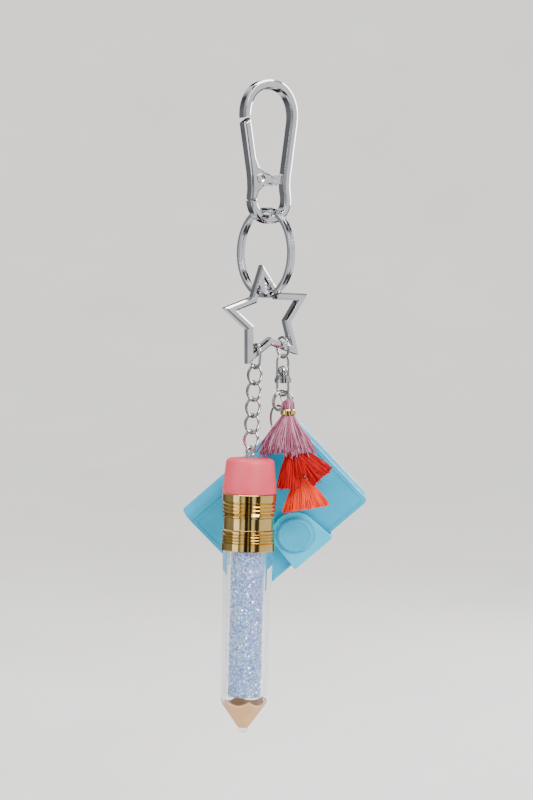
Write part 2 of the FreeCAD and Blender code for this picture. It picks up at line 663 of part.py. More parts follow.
def tapered_hexagon(name, top, base):
    """A six-sided bar between two heights that narrows as the tube does."""
    fall = (dim("tube_corner_top") - dim("tube_corner_base")) / dim("tube_length")
    body = new_body(name)
    sketches = []
    for level in (top, base):
        corner = dim("tube_corner_top") - fall * (FERRULE_BASE - level)
        sketch = new_sketch(body, f"{name}At{len(sketches)}", "XY_Plane", level)
        add_polygon(sketch, hexagon(corner))
        sketches.append(sketch)
    loft = body.newObject("PartDesign::AdditiveLoft", name + "Loft")
    loft.Profile = sketches[0]
    loft.Sections = sketches[1:]
    loft.Ruled = True
    return body


def cone_outline(skin):
    """Half outline of a bar sharpened to a blunt end; skin thins its cone all over."""
    slope = (dim("tube_corner_base") - dim("cone_end_radius")) / dim("cone_height")
    out = dim("tube_corner_base") + 1.5
    shift = skin * math.sqrt(1 + slope ** 2)
    start = TUBE_END + 1.2 + 1.5 / slope
    end_radius = dim("cone_end_radius") - shift
    return [(0, CONE_END), (end_radius, CONE_END), (out - shift, start),
            (out - shift, FERRULE_BASE + 1), (0, FERRULE_BASE + 1)]


def build_tube():
    """The clear six-sided tube: closed at the sharpened end, with a round bore above it."""
    bar = tapered_hexagon("TubeBar", FERRULE_BASE - 0.05, CONE_END)
    sharpened = revolved("TubeSharpen", cone_outline(dim("cone_skin") + 0.03))
    neck = primitive("Cylinder", "TubeNeck")
    neck.Radius = dim("ferrule_waist") - dim("ferrule_wall") - 0.05
    neck.setExpression("Height", "Dims.tube_socket + 0.1")
    neck.Placement = moved(0, 0, FERRULE_BASE - 0.1)
    outside = joined("TubeOutside", [common("TubeTip", bar, sharpened), neck])
    bore = primitive("Cylinder", "TubeBore", Radius="Dims.bore_radius")
    bottom = TUBE_END + dim("bore_floor")
    bore.Height = FERRULE_BASE + dim("tube_socket") + 1 - bottom
    bore.Placement = moved(0, 0, bottom)
    keep(cut("TubeCut", outside, bore), "hex_tube", PENCIL)


def build_wood_cone():
    """The tan sleeve on the sharpened end; the tube's flats give it its scalloped edge."""
    bar = tapered_hexagon("ConeBar", TUBE_END + 8, CONE_END)
    outer = revolved("ConeOuter", cone_outline(0))
    inner = revolved("ConeInner", cone_outline(dim("cone_skin")))
    shell = cut("ConeShell", outer, inner)
    keep(common("WoodCone", shell, bar), "wood_cone", PENCIL)


def build_nib():
    radius = dim("cone_end_radius") - 0.02
    profile = [(0, CONE_END - 0.02), (radius, CONE_END - 0.02)]
    for step in range(1, 6):
        angle = math.radians(18 * step)
        profile.append((radius * math.cos(angle) if step < 5 else 0,
                        CONE_END - 0.3 - dim("nib_height") * math.sin(angle)))
    keep(revolved("Nib", profile), "pencil_nib", PENCIL)


def build_fluid():
    fluid = primitive("Cylinder", "Fluid")
    fluid.setExpression("Radius", "Dims.bore_radius - 0.03")
    bottom = TUBE_END + dim("bore_floor") + 0.03
    top = FERRULE_BASE + dim("tube_socket") - dim("stopper_height") - 1.0
    fluid.Height = top - bottom
    keep(fluid, "glitter_fluid", PENCIL * moved(0, 0, bottom))


def build_stopper():
    top = FERRULE_BASE + dim("tube_socket")
    radius = dim("bore_radius") - 0.03
    brim = dim("ferrule_waist") - dim("ferrule_wall") - 0.1
    base = top - dim("stopper_height")
    profile = [(0, base), (radius - 0.3, base), (radius, base + 0.5), (radius, top + 0.03),
               (brim, top + 0.03), (brim, top + 1.2), (0, top + 1.2)]
    keep(revolved("Stopper", profile), "tube_stopper", PENCIL)


# ---------------------------------------------------------------- swivel and rings

# Depths below the star's arm, along the swivel's own line.
RING_MIDDLE = -dim("ring_drop")
RING_BASE = RING_MIDDLE - dim("ring_bend")
BAIL_TOP = RING_BASE + dim("ring_wire") + dim("bail_wire") + dim("wire_touch")
PLATE_TOP = BAIL_TOP - dim("bail_length")
BLOCK_TOP = PLATE_TOP - dim("plate_thickness") - 0.12
LOOP_BASE = BLOCK_TOP - dim("block_height") - dim("loop_length")


def slide_along_loop(amount):
    """A step sideways along the lower loop's bottom bar."""
    turn = math.radians(dim("loop_yaw"))
    return Vector(amount * math.cos(turn), amount * math.sin(turn), 0)


def bail_parts(name, bend, wire, length):
    """A U of round wire, its bend up: a half circle at the origin and two legs down."""
    bow = primitive("Torus", name + "Bow", Radius1=bend, Radius2=wire)
    bow.Angle3 = 180
    bow.Placement = turned(RIGHT, 90)
    legs = []
    for side in (-1, 1):
        leg = primitive("Cylinder", f"{name}Leg{side + 1}", Radius=wire)
        leg.Height = length
        leg.Placement = moved(side * dim(bend.split(".")[1]), 0, -length)
        legs.append(leg)
    return [bow] + legs


def build_swivel():
    cut_ring("swivel_jump_ring", "ring_bend", "ring_wire",
             SWIVEL * moved(0, 0, RING_MIDDLE) * turned(UP, dim("chain_yaw"))
             * turned(RIGHT, 90) * turned(UP, 92))
    bend = dim("bail_bend")
    parts = bail_parts("UpperBail", "Dims.bail_bend", "Dims.bail_wire", dim("bail_length") - bend + 0.4)
    disc = primitive("Cylinder", "BailPlate", Height="Dims.plate_thickness")
    disc.setExpression("Radius", "Dims.bail_bend + Dims.bail_wire / 2")
    depth = BAIL_TOP - bend - PLATE_TOP
    disc.Placement = moved(0, 0, -depth - dim("plate_thickness"))
    hole = primitive("Cylinder", "BailHole")
    hole.setExpression("Radius", "Dims.stem_radius + Dims.running_gap")
    hole.Height = 6
    hole.Placement = moved(0, 0, -depth - 4)
    keep(cut("UpperBailCut", joined("UpperBail", parts + [disc]), hole), "swivel_upper_bail",
         SWIVEL * moved(0, 0, BAIL_TOP - bend) * turned(UP, dim("bail_yaw")))
    ball = primitive("Sphere", "PinBall", Radius="Dims.ball_radius")
    ball.Placement = moved(0, 0, 1.5)
    stem = primitive("Cylinder", "PinStem", Radius="Dims.stem_radius")
    stem.Height = 1.2 + dim("plate_thickness") + dim("block_height") * 0.7
    stem.Placement = moved(0, 0, 1.2 - stem.Height.Value)
    keep(joined("SwivelPin", [ball, stem]), "swivel_pin", SWIVEL * moved(0, 0, PLATE_TOP + 0.2))
    reach = dim("loop_length") - dim("loop_bend") + 0.5
    loop = bail_parts("LowerLoop", "Dims.loop_bend", "Dims.loop_wire", reach)
    for part in loop:
        part.Placement = turned(RIGHT, 180) * part.Placement
    block = primitive("Cylinder", "LoopBlock", Height="Dims.block_height")
    block.setExpression("Radius", "Dims.loop_bend + Dims.loop_wire / 2")
    top = BLOCK_TOP - LOOP_BASE - dim("loop_bend")
    block.Placement = moved(0, 0, top - dim("block_height"))
    socket = primitive("Cylinder", "LoopSocket")
    socket.setExpression("Radius", "Dims.stem_radius + 0.02")
    socket.Height = dim("block_height")
    socket.Placement = moved(0, 0, top - dim("block_height") * 0.85)
    keep(cut("LowerLoopCut", joined("LowerLoop", loop + [block]), socket), "swivel_lower_loop",
         SWIVEL * moved(0, 0, LOOP_BASE + dim("loop_bend")) * turned(UP, dim("loop_yaw")))


def on_loop(slide, wire):
    """The top of a ring of this wire that hangs on the lower loop, slid along its bend."""
    step = slide_along_loop(slide)
    bend = dim("loop_bend")
    rise = bend - math.sqrt(bend ** 2 - slide ** 2)
    top = LOOP_BASE + dim("loop_wire") + wire + dim("wire_touch") + 1.62 * rise
    return SWIVEL.multVec(Vector(step.x, step.y, top))


def hung(top, lean, tilt=0.0):
    """A frame at a ring's top: its foot leans backwards by lean and to the left by tilt."""
    turn = turned(BACK, tilt) * turned(RIGHT, lean)
    return FreeCAD.Placement(top, turn.Rotation)


CHARM_TOP = hung(on_loop(dim("charm_slide"), dim("charm_wire")), dim("charm_lean"))
CHARM_FOOT = CHARM_TOP.multVec(Vector(0, 0, -2 * dim("charm_bend")))
ALBUM_RING_TOP = hung(CHARM_FOOT + UP * (dim("charm_wire") + dim("album_ring_wire")
                                         + dim("wire_touch")), dim("album_ring_lean"))
ALBUM_RING_FOOT = ALBUM_RING_TOP.multVec(Vector(0, 0, -2 * dim("album_ring_bend")))
TASSEL_TOP = hung(on_loop(dim("small_slide"), dim("small_wire")), -dim("small_lean"),
                  -dim("small_tilt"))
TASSEL_FOOT = TASSEL_TOP.multVec(Vector(0, 0, -2 * dim("small_bend")))


def build_hanging_rings():
    for label, key, top in (("charm_ring", "charm", CHARM_TOP),
                            ("album_ring", "album_ring", ALBUM_RING_TOP),
                            ("tassel_ring", "small", TASSEL_TOP)):
        middle = top * moved(0, 0, -dim(key + "_bend"))
        cut_ring(label, key + "_bend", key + "_wire", middle * upright_ring(dim(key + "_yaw")))


# ---------------------------------------------------------------- tassel


KNOT = TASSEL_FOOT - Vector(0, 0.25, dim("knot_bend") - dim("knot_wire") - dim("small_wire") - 0.3)
BAND_TOP = KNOT - Vector(0, 0, dim("knot_bend") + dim("knot_wire") + 0.02)
CROWN = BAND_TOP - Vector(0, 0, dim("band_height") + 0.02)
RED_TOP = CROWN + Vector(2.0, -0.3, -10.3)
ORANGE_TOP = CROWN + Vector(4.7, 4.4, -21.5)


def build_tassel():
    """The thread loop, the gold band and the top tier's bell; rows are ellipses."""
    knot = primitive("Torus", "Knot", Radius1="Dims.knot_bend", Radius2="Dims.knot_wire")
    keep(knot, "tassel_head_loop", FreeCAD.Placement(KNOT, FreeCAD.Rotation())
         * upright_ring(dim("small_yaw") + 90))
    height = dim("band_height")
    radius = dim("band_radius")
    profile = [(0, 0), (radius - 0.35, 0), (radius, -0.4), (radius, -height + 0.4),
               (radius - 0.3, -height), (0, -height)]
    keep(revolved("Band", profile), "tassel_band_gold",
         FreeCAD.Placement(BAND_TOP, FreeCAD.Rotation()))
    mauve = [(0, 0, 0, 2.3, 2.2), (-4, -0.5, -0.3, 4.2, 2.8), (-8.5, -0.5, -0.3, 7.6, 3.4),
             (-12.6, -0.3, -0.2, 9.8, 3.7)]
    hollow = [(-12.7, 1.4, -0.1, 7.2, 2.9), (-8.5, 1.4, -0.1, 5.2, 2.7)]
    keep(lofted("Mauve", mauve, hollow), "tassel_skirt_mauve",
         FreeCAD.Placement(CROWN, FreeCAD.Rotation()))


def rod_through(name, spots, radius):
    """Round rods from spot to spot, fused at their bends."""
    rods = []
    for number, (start, end) in enumerate(zip(spots, spots[1:])):
        rod = primitive("Cylinder", f"{name}Rod{number}", Radius=radius)
        rod.Height = (end - start).Length
        rod.Placement = FreeCAD.Placement(start, FreeCAD.Rotation(UP, end - start))
        rods.append(rod)
        knuckle = primitive("Sphere", f"{name}Bend{number}", Radius=radius)
        knuckle.Placement = FreeCAD.Placement(end, FreeCAD.Rotation())
        rods.append(knuckle)
    return joined(name, rods)


def build_lower_tiers():
    """The red tier's two bunches and the orange tier, hung on one cord by thread bindings."""
    spots = [CROWN + Vector(1.3, -0.1, -8.9), RED_TOP - Vector(0, 0, 0.6),
             ORANGE_TOP - Vector(0, 0, 0.6)]
    keep(rod_through("Cord", spots, "Dims.cord_radius"), "tassel_cord")
    for label, at in (("tassel_binding_red", RED_TOP), ("tassel_binding_orange", ORANGE_TOP)):
        bore = dim("cord_radius") + 0.15
        profile = [(bore, -1.3), (1.9, -1.3), (2.1, -0.9), (2.1, -0.4), (1.8, 0), (bore, 0)]
        body = revolved(label.replace("_", ""), profile)
        channel = rod_through(label.replace("_", "") + "Channel", spots, "Dims.cord_radius + 0.03")
        body.Placement = FreeCAD.Placement(at, FreeCAD.Rotation())
        keep(cut(label.replace("_", "") + "Cut", body, channel), label)
    left = [(0, 0, 0, 1.3, 1.8), (-6, -0.4, -0.1, 3.0, 2.1), (-13.4, -0.9, -0.1, 4.2, 2.3)]
    right = [(0, 0, 0, 1.2, 1.7), (-5, 0, -0.1, 2.9, 2.1), (-11.9, 0.2, -0.1, 4.4, 2.3)]
    orange = [(0, 0, 0, 2.2, 1.9), (-4, 0.1, 0, 4.6, 2.1), (-9.0, 0.2, 0, 8.1, 2.4)]
    for name, rows, at, turn, label in (
            ("RedLeft", left, RED_TOP + Vector(-0.9, 0.5, -1.35), 0, "tassel_skirt_red_left"),
            ("RedRight", right, RED_TOP + Vector(1.6, 0, -1.8), -42, "tassel_skirt_red_right"),
            ("Orange", orange, ORANGE_TOP + Vector(0, 0, -1.75), -9, "tassel_skirt_orange")):
        bell = lofted(name, rows)
        bell.Placement = FreeCAD.Placement(at, FreeCAD.Rotation(BACK, turn))
        channel = rod_through(name + "Channel", spots, "Dims.cord_radius + 0.03")
        keep(cut(name + "Cut", bell, channel), label)


# ---------------------------------------------------------------- mini photo album


def album_place():
    """The album's frame: the front cover's middle, across to the fore-edge, along the spine."""
    turn = turned(RIGHT, dim("album_tilt")) * turned(BACK, dim("album_turn"))
    eyelet = turn.multVec(Vector(dim("eyelet_across"), 0, dim("eyelet_along")))
    return FreeCAD.Placement(ALBUM_RING_FOOT - eyelet, turn.Rotation)


ALBUM = album_place()
COVER_FRONT = -dim("cover") / 2
COVER_BACK = dim("cover") / 2
STACK_BACK = COVER_FRONT + dim("album_stack")
SPINE_AXIS = dim("album_stack") / 2 + COVER_FRONT
SPINE_EDGE = -dim("album_width") / 2 + dim("album_stack") / 2
FORE_EDGE = dim("album_width") / 2
ALBUM_TOP = dim("album_length") / 2


def rounded(points, radii):
    """The corners of an outline with some replaced by arcs: (start, end, middle) or a point."""
    pieces = []
    count = len(points)
    for index, radius in enumerate(radii):
        corner = Vector(points[index][0], points[index][1], 0)
        if radius == 0:
            pieces.append([corner])
            continue
        before = (Vector(*points[index - 1], 0) - corner).normalize()
        after = (Vector(*points[(index + 1) % count], 0) - corner).normalize()
        half = before.getAngle(after) / 2
        reach = radius / math.tan(half)
        middle_line = (before + after).normalize()
        centre = corner + middle_line * (radius / math.sin(half))
        pieces.append([corner + before * reach, centre - middle_line * radius,
                       corner + after * reach])
    return pieces


def add_rounded(sketch, points, radii):
    """A closed outline of lines and corner arcs."""
    pieces = rounded(points, radii)
    for index, piece in enumerate(pieces):
        if len(piece) == 3:
            sketch.addGeometry(Part.Arc(*piece), False)
        following = pieces[(index + 1) % len(pieces)]
        sketch.addGeometry(Part.LineSegment(piece[-1], following[0]), False)


def plate(name, outline, radii, near, thickness, holes=()):
    """A flat plate across the album's depth, from near backwards by thickness."""
    body = new_body(name)
    sketch = new_sketch(body, name + "Outline", "XZ_Plane", -near)
    add_rounded(sketch, outline, radii)
    for x, z, radius in holes:
        sketch.addGeometry(Part.Circle(Vector(x, z, 0), UP, radius), False)
    pad(body, sketch, name + "Pad", thickness, False, True)
    return body


def cover_outline(tab):
    """A cover from the spine to the fore-edge, with or without the tab that holds the eyelet."""
    inner = SPINE_EDGE + 0.1
    if not tab:
        return [(inner, -ALBUM_TOP), (FORE_EDGE, -ALBUM_TOP), (FORE_EDGE, ALBUM_TOP),
                (inner, ALBUM_TOP)]
    notch = ALBUM_TOP - dim("spine_notch") + 0.3
    edge = -dim("album_width") / 2
    return [(inner, -ALBUM_TOP), (FORE_EDGE, -ALBUM_TOP), (FORE_EDGE, ALBUM_TOP),
            (edge, ALBUM_TOP), (edge, notch), (inner, notch)]


def build_covers():
    curve = dim("cover_round")
    eyelet = (dim("eyelet_across"), dim("eyelet_along"), dim("eyelet_radius") + 0.3)
    stud = (dim("strap_across"), dim("strap_along"), dim("post_radius") + 0.02)
    front = plate("FrontCover", cover_outline(True), [0, curve, curve, curve, curve / 2, 0],
                  COVER_FRONT, "Dims.cover", [eyelet, stud])
    keep(front, "album_front_cover", ALBUM)
    back = plate("BackCover", cover_outline(False), [0, curve, curve, curve / 2],
                 STACK_BACK - dim("cover"), "Dims.cover")
    keep(back, "album_back_cover", ALBUM)


def build_pages():
    """Five clear leaves, with the corner at the eyelet cut away to clear the ring."""
    inset = dim("page_inset")
    inner = SPINE_EDGE + 0.6
    outline = [(inner, -ALBUM_TOP + inset), (FORE_EDGE - inset, -ALBUM_TOP + inset),
               (FORE_EDGE - inset, ALBUM_TOP - inset), (inner + 10, ALBUM_TOP - inset),
               (inner, ALBUM_TOP - 16)]
    first = COVER_BACK + 0.65
    for number in range(int(dim("page_count"))):
        leaf = plate(f"Page{number + 1}", outline, [0, 1.2, 1.2, 0, 0],
                     first + number * dim("page_pitch"), "Dims.page")
        keep(leaf, f"album_page_{number + 1}", ALBUM)


def build_spine():
    """The half-round spine that wraps the covers' edges, shorter than them at the eyelet."""
    outer = dim("album_stack") / 2
    inner = outer - dim("spine_wall")
    body = new_body("Spine")
    sketch = new_sketch(body, "SpineSection", "XY_Plane", -ALBUM_TOP)
    centre = Vector(SPINE_EDGE, SPINE_AXIS, 0)
    for radius in (outer, inner):
        arc = Part.Arc(centre + Vector(0, radius, 0), centre - Vector(radius, 0, 0),
                       centre - Vector(0, radius, 0))
        sketch.addGeometry(arc, False)
    for side in (-1, 1):
        sketch.addGeometry(Part.LineSegment(centre + Vector(0, side * outer, 0),
                                            centre + Vector(0, side * inner, 0)), False)
    pad(body, sketch, "SpinePad", "Dims.album_length - Dims.spine_notch", False)
    keep(body, "album_spine", ALBUM)


def build_eyelet():
    radius, flange, lip = dim("eyelet_radius"), dim("eyelet_flange"), dim("eyelet_lip")
    half = dim("cover") / 2 + 0.02
    profile = [(radius, -half - lip), (flange, -half - lip), (flange + 0.1, -half),
               (radius + 0.28, -half), (radius + 0.28, half), (flange + 0.1, half),
               (flange, half + lip), (radius, half + lip)]
    place = ALBUM * moved(dim("eyelet_across"), 0, dim("eyelet_along")) * turned(RIGHT, 90)
    keep(revolved("Eyelet", profile), "album_eyelet", place)


def strap_front():
    return COVER_FRONT - dim("strap_raise") - dim("strap")


def build_strap():
    """The closing strap: a round-ended flap over the front, and the wall round the fore-edge."""
    x, z, end = dim("strap_across"), dim("strap_along"), dim("strap_end")
    half = dim("strap_width") / 2
    wall = FORE_EDGE + 0.3
    out = FORE_EDGE + 0.3 + dim("strap_proud")
    gap = math.hypot(wall - x, half)
    lean = math.atan2(half, wall - x) + math.acos(end / gap)
    touch = Vector(x + end * math.cos(lean), z + end * math.sin(lean), 0)
    below = Vector(touch.x, 2 * z - touch.y, 0)
    body = new_body("Strap")
    sketch = new_sketch(body, "StrapOutline", "XZ_Plane", -strap_front())
    sketch.addGeometry(Part.Arc(touch, Vector(x - end, z, 0), below), False)
    corners = [below, Vector(wall, z - half, 0), Vector(out, z - half, 0),
               Vector(out, z + half, 0), Vector(wall, z + half, 0), touch]
    for start, stop in zip(corners, corners[1:]):
        sketch.addGeometry(Part.LineSegment(start, stop), False)
    sketch.addGeometry(Part.Circle(Vector(x, z, 0), UP, dim("post_radius") + 0.02), False)
    pad(body, sketch, "Flap", "Dims.strap", False, True)
    side = new_sketch(body, "StrapWall", "XZ_Plane", -strap_front())
    add_polygon(side, [(wall, z - half), (out, z - half), (out, z + half), (wall, z + half)])
    pad(body, side, "Wall", "Dims.album_stack + Dims.strap_raise + 2 * Dims.strap", False, True)
    keep(body, "album_strap", ALBUM)
    tail = plate("StrapTail", [(FORE_EDGE - dim("strap_tail"), z - half), (wall - 0.05, z - half),
                               (wall - 0.05, z + half), (FORE_EDGE - dim("strap_tail"), z + half)],
                 [1.5, 0, 0, 1.5], STACK_BACK + 0.02, "Dims.strap")
    keep(tail, "album_strap_tail", ALBUM)


def build_snap():
    """Cap and socket on the strap, stud and its plate on the front cover."""
    place = ALBUM * moved(dim("strap_across"), 0, dim("strap_along")) * turned(RIGHT, 90)
    radius, high, dish = dim("cap_radius"), dim("cap_height"), dim("cap_dish")
    outside = -strap_front() + 0.02
    post = dim("post_radius")
    profile = [(0, outside), (radius - 0.5, outside), (radius, outside + 0.35),
               (radius, outside + high - 0.55), (radius - 0.4, outside + high - 0.1),
               (radius - 0.9, outside + high), (radius - 1.4, outside + high - dish),
               (0, outside + high - dish)]
    keep(revolved("Cap", profile), "snap_cap", place)
    under = outside - dim("strap") - 0.04
    cup = dim("stud_radius") + 0.12
    rim = dim("socket_radius")
    base = under - dim("socket_height")
    profile = [(0, under + dim("strap")), (post, under + dim("strap")), (post, under),
               (rim - 0.3, under), (rim, under - 0.3), (rim, base + 0.3), (rim - 0.3, base),
               (cup, base), (cup, under - 0.25), (0, under - 0.25)]
    keep(revolved("Socket", profile), "snap_socket", place)
    face = dim("cover") / 2 + 0.02
    flange, knob = dim("stud_base"), dim("stud_radius")
    profile = [(0, face - dim("cover")), (post, face - dim("cover")), (post, face),
               (flange, face), (flange - 0.1, face + 0.2), (knob - 0.2, face + 0.22),
               (knob, face + 0.6), (knob - 0.3, face + 1.05), (0, face + 1.1)]
    keep(revolved("Stud", profile), "snap_stud", place)
    profile = [(0, -face), (dim("socket_radius"), -face), (dim("socket_radius") - 0.15, -face - 0.3),
               (0, -face - 0.3)]
    keep(revolved("StudBack", profile), "snap_stud_back", place)


# ---------------------------------------------------------------- build, check, write


def build_all():
    build_hook_body()
    build_hook_gate()
    build_rivet()
    build_hook_spring()
    build_split_ring()
    build_star_frame()
    build_star_gate()
    build_star_pin()
    build_chain_jump_ring()
    build_chain_links()
    build_eye()
    build_eraser()
    build_ferrule()
    build_tube()
    build_wood_cone()
    build_nib()
    build_fluid()
    build_stopper()
    build_swivel()
    build_hanging_rings()
    build_tassel()
    build_lower_tiers()
    build_covers()
    build_pages()
    build_spine()
    build_eyelet()
    build_strap()
    build_snap()
    doc.recompute()


def check_all():
    """Stops with a message if any object failed or any sub-part isn't one sound solid."""
    for item in doc.Objects:
        if "Invalid" in item.State or "Error" in item.State:
            raise RuntimeError(f"{item.Label} failed: {item.State}")
    for piece in finished:
        shape = piece.Shape
        if shape.isNull() or not shape.isValid() or len(shape.Solids) != 1:
            raise RuntimeError(f"{piece.Label}: not one valid solid ({len(shape.Solids)})")


def write_all():
    os.makedirs("parts", exist_ok=True)
    for piece in finished:
        piece.Shape.exportStep(f"parts/{piece.Label}.step")
        box = piece.Shape.BoundBox
        print(f"{piece.Label:26s} {piece.Shape.Volume:9.2f} mm3  x {box.XMin:7.2f} {box.XMax:7.2f}"
              f"  y {box.YMin:7.2f} {box.YMax:7.2f}  z {box.ZMin:8.2f} {box.ZMax:8.2f}")


build_all()
check_all()
write_all()
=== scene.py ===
import json
import math
import random

import bmesh
import bpy
from mathutils import Matrix, Vector


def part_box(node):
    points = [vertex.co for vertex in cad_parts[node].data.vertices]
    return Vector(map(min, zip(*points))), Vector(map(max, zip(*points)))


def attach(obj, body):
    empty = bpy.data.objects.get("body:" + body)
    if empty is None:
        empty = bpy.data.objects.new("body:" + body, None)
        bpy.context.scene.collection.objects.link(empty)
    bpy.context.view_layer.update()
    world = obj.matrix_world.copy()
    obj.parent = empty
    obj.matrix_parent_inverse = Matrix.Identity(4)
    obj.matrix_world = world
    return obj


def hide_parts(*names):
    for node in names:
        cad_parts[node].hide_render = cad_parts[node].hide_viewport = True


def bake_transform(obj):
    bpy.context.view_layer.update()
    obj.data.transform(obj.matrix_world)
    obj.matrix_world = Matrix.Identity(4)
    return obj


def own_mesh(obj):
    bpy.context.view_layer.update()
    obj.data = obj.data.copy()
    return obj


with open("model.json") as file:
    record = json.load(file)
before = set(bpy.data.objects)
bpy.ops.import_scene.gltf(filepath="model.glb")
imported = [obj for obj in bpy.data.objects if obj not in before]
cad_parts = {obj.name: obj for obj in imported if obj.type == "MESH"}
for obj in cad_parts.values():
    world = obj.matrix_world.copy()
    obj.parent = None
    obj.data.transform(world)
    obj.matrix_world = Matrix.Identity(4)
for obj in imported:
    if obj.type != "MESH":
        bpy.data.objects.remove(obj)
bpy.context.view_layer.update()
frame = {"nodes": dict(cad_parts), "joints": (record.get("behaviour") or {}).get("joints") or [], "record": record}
NODES = frame["nodes"]
JOINTS = {joint["name"]: joint for joint in frame["joints"]}
BODY_OF = {node: body for body, nodes in frame["record"]["behaviour"]["bodies"].items()
           for node in nodes}
MM = 0.001
WELD = 2e-6
SCENE = bpy.context.scene


# ---------------------------------------------------------------- camera, light, backdrop

def aim(obj, target):
    direction = Vector(target) - obj.location
    obj.rotation_euler = direction.to_track_quat("-Z", "Y").to_euler()


def make_camera():
    """A camera about 0.86 m in front, whose view is about 0.27 m tall there."""
    sensor, distance, view_height = 24.0, 0.86, 0.2736
    data = bpy.data.cameras.new("Camera")
    data.sensor_fit = "VERTICAL"
    data.sensor_height = sensor
    data.lens = sensor * distance / view_height
    data.clip_end = 20.0
    camera = bpy.data.objects.new("Camera", data)
    SCENE.collection.objects.link(camera)
    camera.location = (-0.0012, -0.858, -0.068)
    aim(camera, (-0.0012, 0.0, -0.1057))
    SCENE.camera = camera


def make_light(name, place, target, size, power, colour=(1.0, 1.0, 1.0)):
    data = bpy.data.lights.new(name, "AREA")
    data.shape = "RECTANGLE"
    data.size, data.size_y = size
    data.energy = power
    data.color = colour
    light = bpy.data.objects.new(name, data)
    SCENE.collection.objects.link(light)
    light.location = place
    aim(light, target)


def make_world():
    """A studio dome in upright light and dark bands, so that the chrome has contrast."""
    world = bpy.data.worlds.new("Studio")
    world.use_nodes = True
    SCENE.world = world
    tree = world.node_tree
    background = tree.nodes["Background"]
    coordinate = tree.nodes.new("ShaderNodeTexCoord")
    split = tree.nodes.new("ShaderNodeSeparateXYZ")
    tree.links.new(coordinate.outputs["Generated"], split.inputs[0])
    ramp = tree.nodes.new("ShaderNodeValToRGB")
    ramp.color_ramp.elements[0].position = 0.0
    ramp.color_ramp.elements[0].color = (0.30, 0.31, 0.33, 1)
    ramp.color_ramp.elements[1].position = 1.0
    ramp.color_ramp.elements[1].color = (0.90, 0.90, 0.92, 1)
    for position, value in ((0.18, 0.05), (0.27, 0.85), (0.33, 0.90), (0.37, 0.03), (0.47, 0.02),
                            (0.51, 0.45), (0.54, 0.03), (0.60, 0.03), (0.64, 1.0), (0.71, 0.95),
                            (0.76, 0.05), (0.86, 0.06), (0.90, 0.92)):
        element = ramp.color_ramp.elements.new(position)
        element.color = (value, value, value * 1.02, 1)
    shift = tree.nodes.new("ShaderNodeMath")
    shift.operation = "MULTIPLY_ADD"
    shift.inputs[1].default_value = 0.5
    shift.inputs[2].default_value = 0.5
    tree.links.new(split.outputs["X"], shift.inputs[0])
    tree.links.new(shift.outputs[0], ramp.inputs[0])
    tree.links.new(ramp.outputs[0], background.inputs["Color"])
    background.inputs["Strength"].default_value = 1.0


def make_backdrop():
    """A wide round bowl: a flat floor that curves up into a dome, the same from every side."""
    floor, flat, bend, dome_rise = -0.262, 1.6, 1.5, 2.0
    bend_steps, dome_steps, spokes = 24, 12, 96
    profile = [(0.0, floor), (flat, floor)]
    for step in range(1, bend_steps + 1):
        angle = math.radians(90 * step / bend_steps)
        profile.append((flat + bend * math.sin(angle), floor + bend * (1 - math.cos(angle))))
    for step in range(1, dome_steps + 1):
        angle = math.radians(90 * step / dome_steps)
        profile.append(((flat + bend) * math.cos(angle),
                        floor + bend + dome_rise * math.sin(angle)))
    points, faces = [], []
    for reach, height in profile:
        for spoke in range(spokes):
            angle = 2 * math.pi * spoke / spokes
            points.append((reach * math.cos(angle), reach * math.sin(angle), height))
    for row in range(len(profile) - 1):
        for spoke in range(spokes):
            a = row * spokes + spoke
            b = row * spokes + (spoke + 1) % spokes
            faces.append((a, b, b + spokes, a + spokes))
    mesh = mesh_from("Backdrop", points, faces)
    mesh.shade_smooth()
    obj = bpy.data.objects.new("Backdrop", mesh)
    SCENE.collection.objects.link(obj)
    obj.visible_glossy = False
    obj.visible_shadow = False
    paper, tree, shader = new_material("BackdropPaper", 0.92, Emission_Strength=0.80)
    shade(tree, shader, tree_noise(tree, 9, 3), (0.40, 0.39, 0.38), (0.44, 0.43, 0.42))
    shade(tree, shader, tree_noise(tree, 5, 2), (0.86, 0.85, 0.84), (0.89, 0.88, 0.87),
          socket="Emission Color")
    mesh.materials.append(paper)


# ---------------------------------------------------------------- materials

def new_material(name, roughness, metallic=0.0, **sockets):
    paint = bpy.data.materials.new(name)
    paint.use_nodes = True
    tree = paint.node_tree
    shader = tree.nodes["Principled BSDF"]
    shader.inputs["Roughness"].default_value = roughness
    shader.inputs["Metallic"].default_value = metallic
    for key, value in sockets.items():
        shader.inputs[key.replace("_", " ")].default_value = value
    return paint, tree, shader


def tree_vector(tree, stretch=(1, 1, 1)):
    coordinate = tree.nodes.new("ShaderNodeTexCoord")
    mapping = tree.nodes.new("ShaderNodeMapping")
    mapping.inputs["Scale"].default_value = stretch
    tree.links.new(coordinate.outputs["Object"], mapping.inputs["Vector"])
    return mapping.outputs["Vector"]


def tree_noise(tree, scale, detail, stretch=(1, 1, 1)):
    noise = tree.nodes.new("ShaderNodeTexNoise")
    noise.inputs["Scale"].default_value = scale
    noise.inputs["Detail"].default_value = detail
    noise.inputs["Roughness"].default_value = 0.55
    tree.links.new(tree_vector(tree, stretch), noise.inputs["Vector"])
    return noise.outputs["Fac"]


def tree_voronoi(tree, scale, output="Distance"):
    cells = tree.nodes.new("ShaderNodeTexVoronoi")
    cells.inputs["Scale"].default_value = scale
    tree.links.new(tree_vector(tree), cells.inputs["Vector"])
    return cells.outputs[output]


